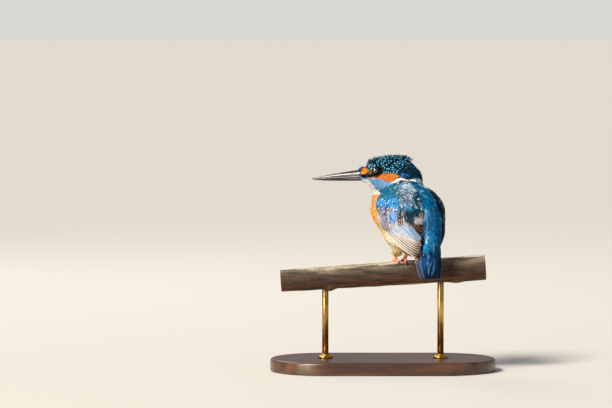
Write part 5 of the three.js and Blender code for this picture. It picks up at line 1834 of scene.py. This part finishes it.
# ------------------------------------------------------------------ legs and feet
# Short coral-red legs with plates of scale down the front. Four toes lie over the bark, three forwards and
# one back, each with a curved dark claw.
FEET = {"apart": 7.6, "past": 0.8}
FOOT_TURN = 104
TOE = {"root": 1.25, "end": 0.85, "claw": 3.4}
# Each toe's length in millimetres and its turn from the foot's own heading in degrees.
TOES = [(10, 15), (14, 0), (12.5, -10), (6.5, 174)]
ANKLE = {"back": 3.4, "out": 0.8, "up": 10.5}
TOE_STEPS, LEG_SIDES, CLAW_STEPS, CLAW_SIDES, SHANK_STEPS = 64, 20, 20, 12, 50
SCALE_LONG = 0.85
SHANK_SCALES = 8
foot_skin, tree, shader = new_material(
    "foot_skin", 0.5, Subsurface_Weight=0.15, Subsurface_Radius=(0.001, 0.0004, 0.0002)
)
pebbles = add_node(tree, "TexVoronoi", Scale=2600)
blotch = grain(tree, 500.0, (1, 1, 1), 3.0)
tone = ramp(tree, blotch, [(0.3, "c4623f"), (0.55, "e68a68"), (0.75, "f6b89c")])
seamed = mix_colour(tree, attribute(tree, "seam")["Fac"], tone, "9c4a30")
tree.links.new(seamed, shader.inputs["Base Color"])
bump(tree, pebbles.outputs["Distance"], 0.4, 0.00015, shader)
claw_horn, tree, shader = new_material("claw_horn", 0.3, Coat_Weight=0.3)
tone = ramp(tree, grain(tree, 700.0, (1, 1, 0.4), 3.0), [(0.3, "14100e"), (0.7, "3b2d26")])
tree.links.new(tone, shader.inputs["Base Color"])


def on_bark(s, out, lift):
    """A place over the branch: s along it, out round it from its top, and a lift, in the row."""
    middle_radius = (PERCH_ENDS[0] + PERCH_ENDS[1]) / 2 / MM
    turn = out / middle_radius
    radius = perch_surface(np.array(s * MM), np.array(math.pi / 2 - turn), 0.3) / MM + lift
    spot = perch_to_row(s, radius * math.sin(turn), radius * math.cos(turn))
    return np.array([spot[0], spot[1], (spot[2] - PERCH_MIDDLE) + PERCH_MIDDLE / MM])


def tube(path, radii, sides, bumps):
    """Rings of a tube along points, with bumps(k, turn) added to its radius, and turned to the upright."""
    path = np.array(path)
    ahead = unit(np.gradient(path, axis=0))
    side = unit(np.cross([0, 0, 1.0], ahead))
    over = np.cross(ahead, side)
    rings = []
    for k, spot in enumerate(path):
        ring = []
        for i in range(sides):
            turn = 2 * math.pi * i / sides
            r = radii[k] + bumps(k, turn)
            ring.append(tuple((spot + r * (side[k] * math.cos(turn) + over[k] * math.sin(turn))) * MM))
        rings.append(ring)
    return rings


def gather(parts, rings):
    """Adds a closed loft to a piece's lists of vertices and faces, and says how many vertices it has."""
    vertices, faces = loft(rings)
    start = len(parts[0])
    parts[0].extend(vertices)
    parts[1].extend(tuple(start + i for i in f) for f in faces)
    return len(vertices)


def to_seam(d):
    """From 0 in the middle of a scale to 0.5 at its seams, at d along a toe."""
    return abs((d / SCALE_LONG) % 1 - 0.5)


for side, name in ((1, "left"), (-1, "right")):
    foot_parts, claw_parts, seams = ([], []), ([], []), []
    middle_s = FEET_AT[0] / math.cos(PERCH_TILT) - FEET["apart"] / 2 * side
    for length, turn in TOES:
        heading = math.radians(FOOT_TURN - turn * side)

        def over_bark(d, lift, heading=heading, middle_s=middle_s):
            """The toe's place at d from its root."""
            return on_bark(middle_s + d * math.cos(heading), FEET["past"] + d * math.sin(heading), lift)

        path, radii = [], []
        for k in range(TOE_STEPS + 1):
            d = length * k / TOE_STEPS
            r = TOE["root"] + (TOE["end"] - TOE["root"]) * d / length
            path.append(over_bark(d, r + 0.05 + 0.35 * max(0, 1 - d / 2)))
            r *= 1 + 0.09 * math.cos(d / length * 6 * math.pi)
            if k > TOE_STEPS - 6:
                r *= math.sqrt(max(1 - ((k - TOE_STEPS + 6) / 6.4) ** 2, 0.02))
            radii.append(r)

        def scales(k, around, length=length):
            top = max(0.0, math.sin(around)) ** 0.5
            return 0.09 * top * (to_seam(length * k / TOE_STEPS) * -2 + 0.7)

        gather(foot_parts, tube(path, radii, LEG_SIDES, scales))
        for k in range(TOE_STEPS + 1):
            d = length * k / TOE_STEPS
            for i in range(LEG_SIDES):
                top = max(0.0, math.sin(2 * math.pi * i / LEG_SIDES)) ** 0.5
                seams.append(0.8 * top * float(smoothstep(0.38, 0.5, to_seam(d))))
        seams += [0.0, 0.0]
        claw_path, claw_radii = [], []
        for k in range(CLAW_STEPS + 1):
            t = k / CLAW_STEPS
            d = length - 0.9 + (TOE["claw"] + 0.9) * t
            claw_path.append(over_bark(d, TOE["end"] * (1 - t) + 0.15 + 0.9 * math.sin(math.pi * t) * 0.8))
            claw_radii.append(max(TOE["end"] * 0.72 * (1 - t) ** 0.7, 0.06))
        gather(claw_parts, tube(claw_path, claw_radii, CLAW_SIDES, lambda k, around: 0.0))
    root_spot = on_bark(middle_s, FEET["past"], 1.5)
    flat_foot = in_body(root_spot)
    to_ankle = [-ANKLE["back"], ANKLE["out"] * side, ANKLE["up"] - 1.5]
    ankle = from_body(flat_foot + to_ankle)
    path = [ankle * (1 - t) + root_spot * t for t in np.linspace(0, 1, SHANK_STEPS)]
    radii = [1.35 - 0.15 * math.sin(math.pi * t) + 0.25 * t**6 for t in np.linspace(0, 1, SHANK_STEPS)]

    def plates(k, around):
        front = max(0.0, math.cos(around + 1.2)) ** 0.5
        return 0.08 * front * (abs((k / SHANK_STEPS * SHANK_SCALES) % 1 - 0.5) * -2 + 0.7)

    seams += [0.0] * gather(foot_parts, tube(path, radii, LEG_SIDES, plates))
    foot = add_mesh("foot_skin_" + name, *foot_parts)
    foot.data.attributes.new("seam", "FLOAT", "POINT").data.foreach_set("value", seams)
    foot.data.materials.append(foot_skin)
    claws = add_mesh("claws_" + name, *claw_parts)
    claws.data.materials.append(claw_horn)
    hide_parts("foot_" + name, "shank_" + name)
    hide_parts("foot_" + name)
    for piece in (foot, claws):
        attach(piece, "root")
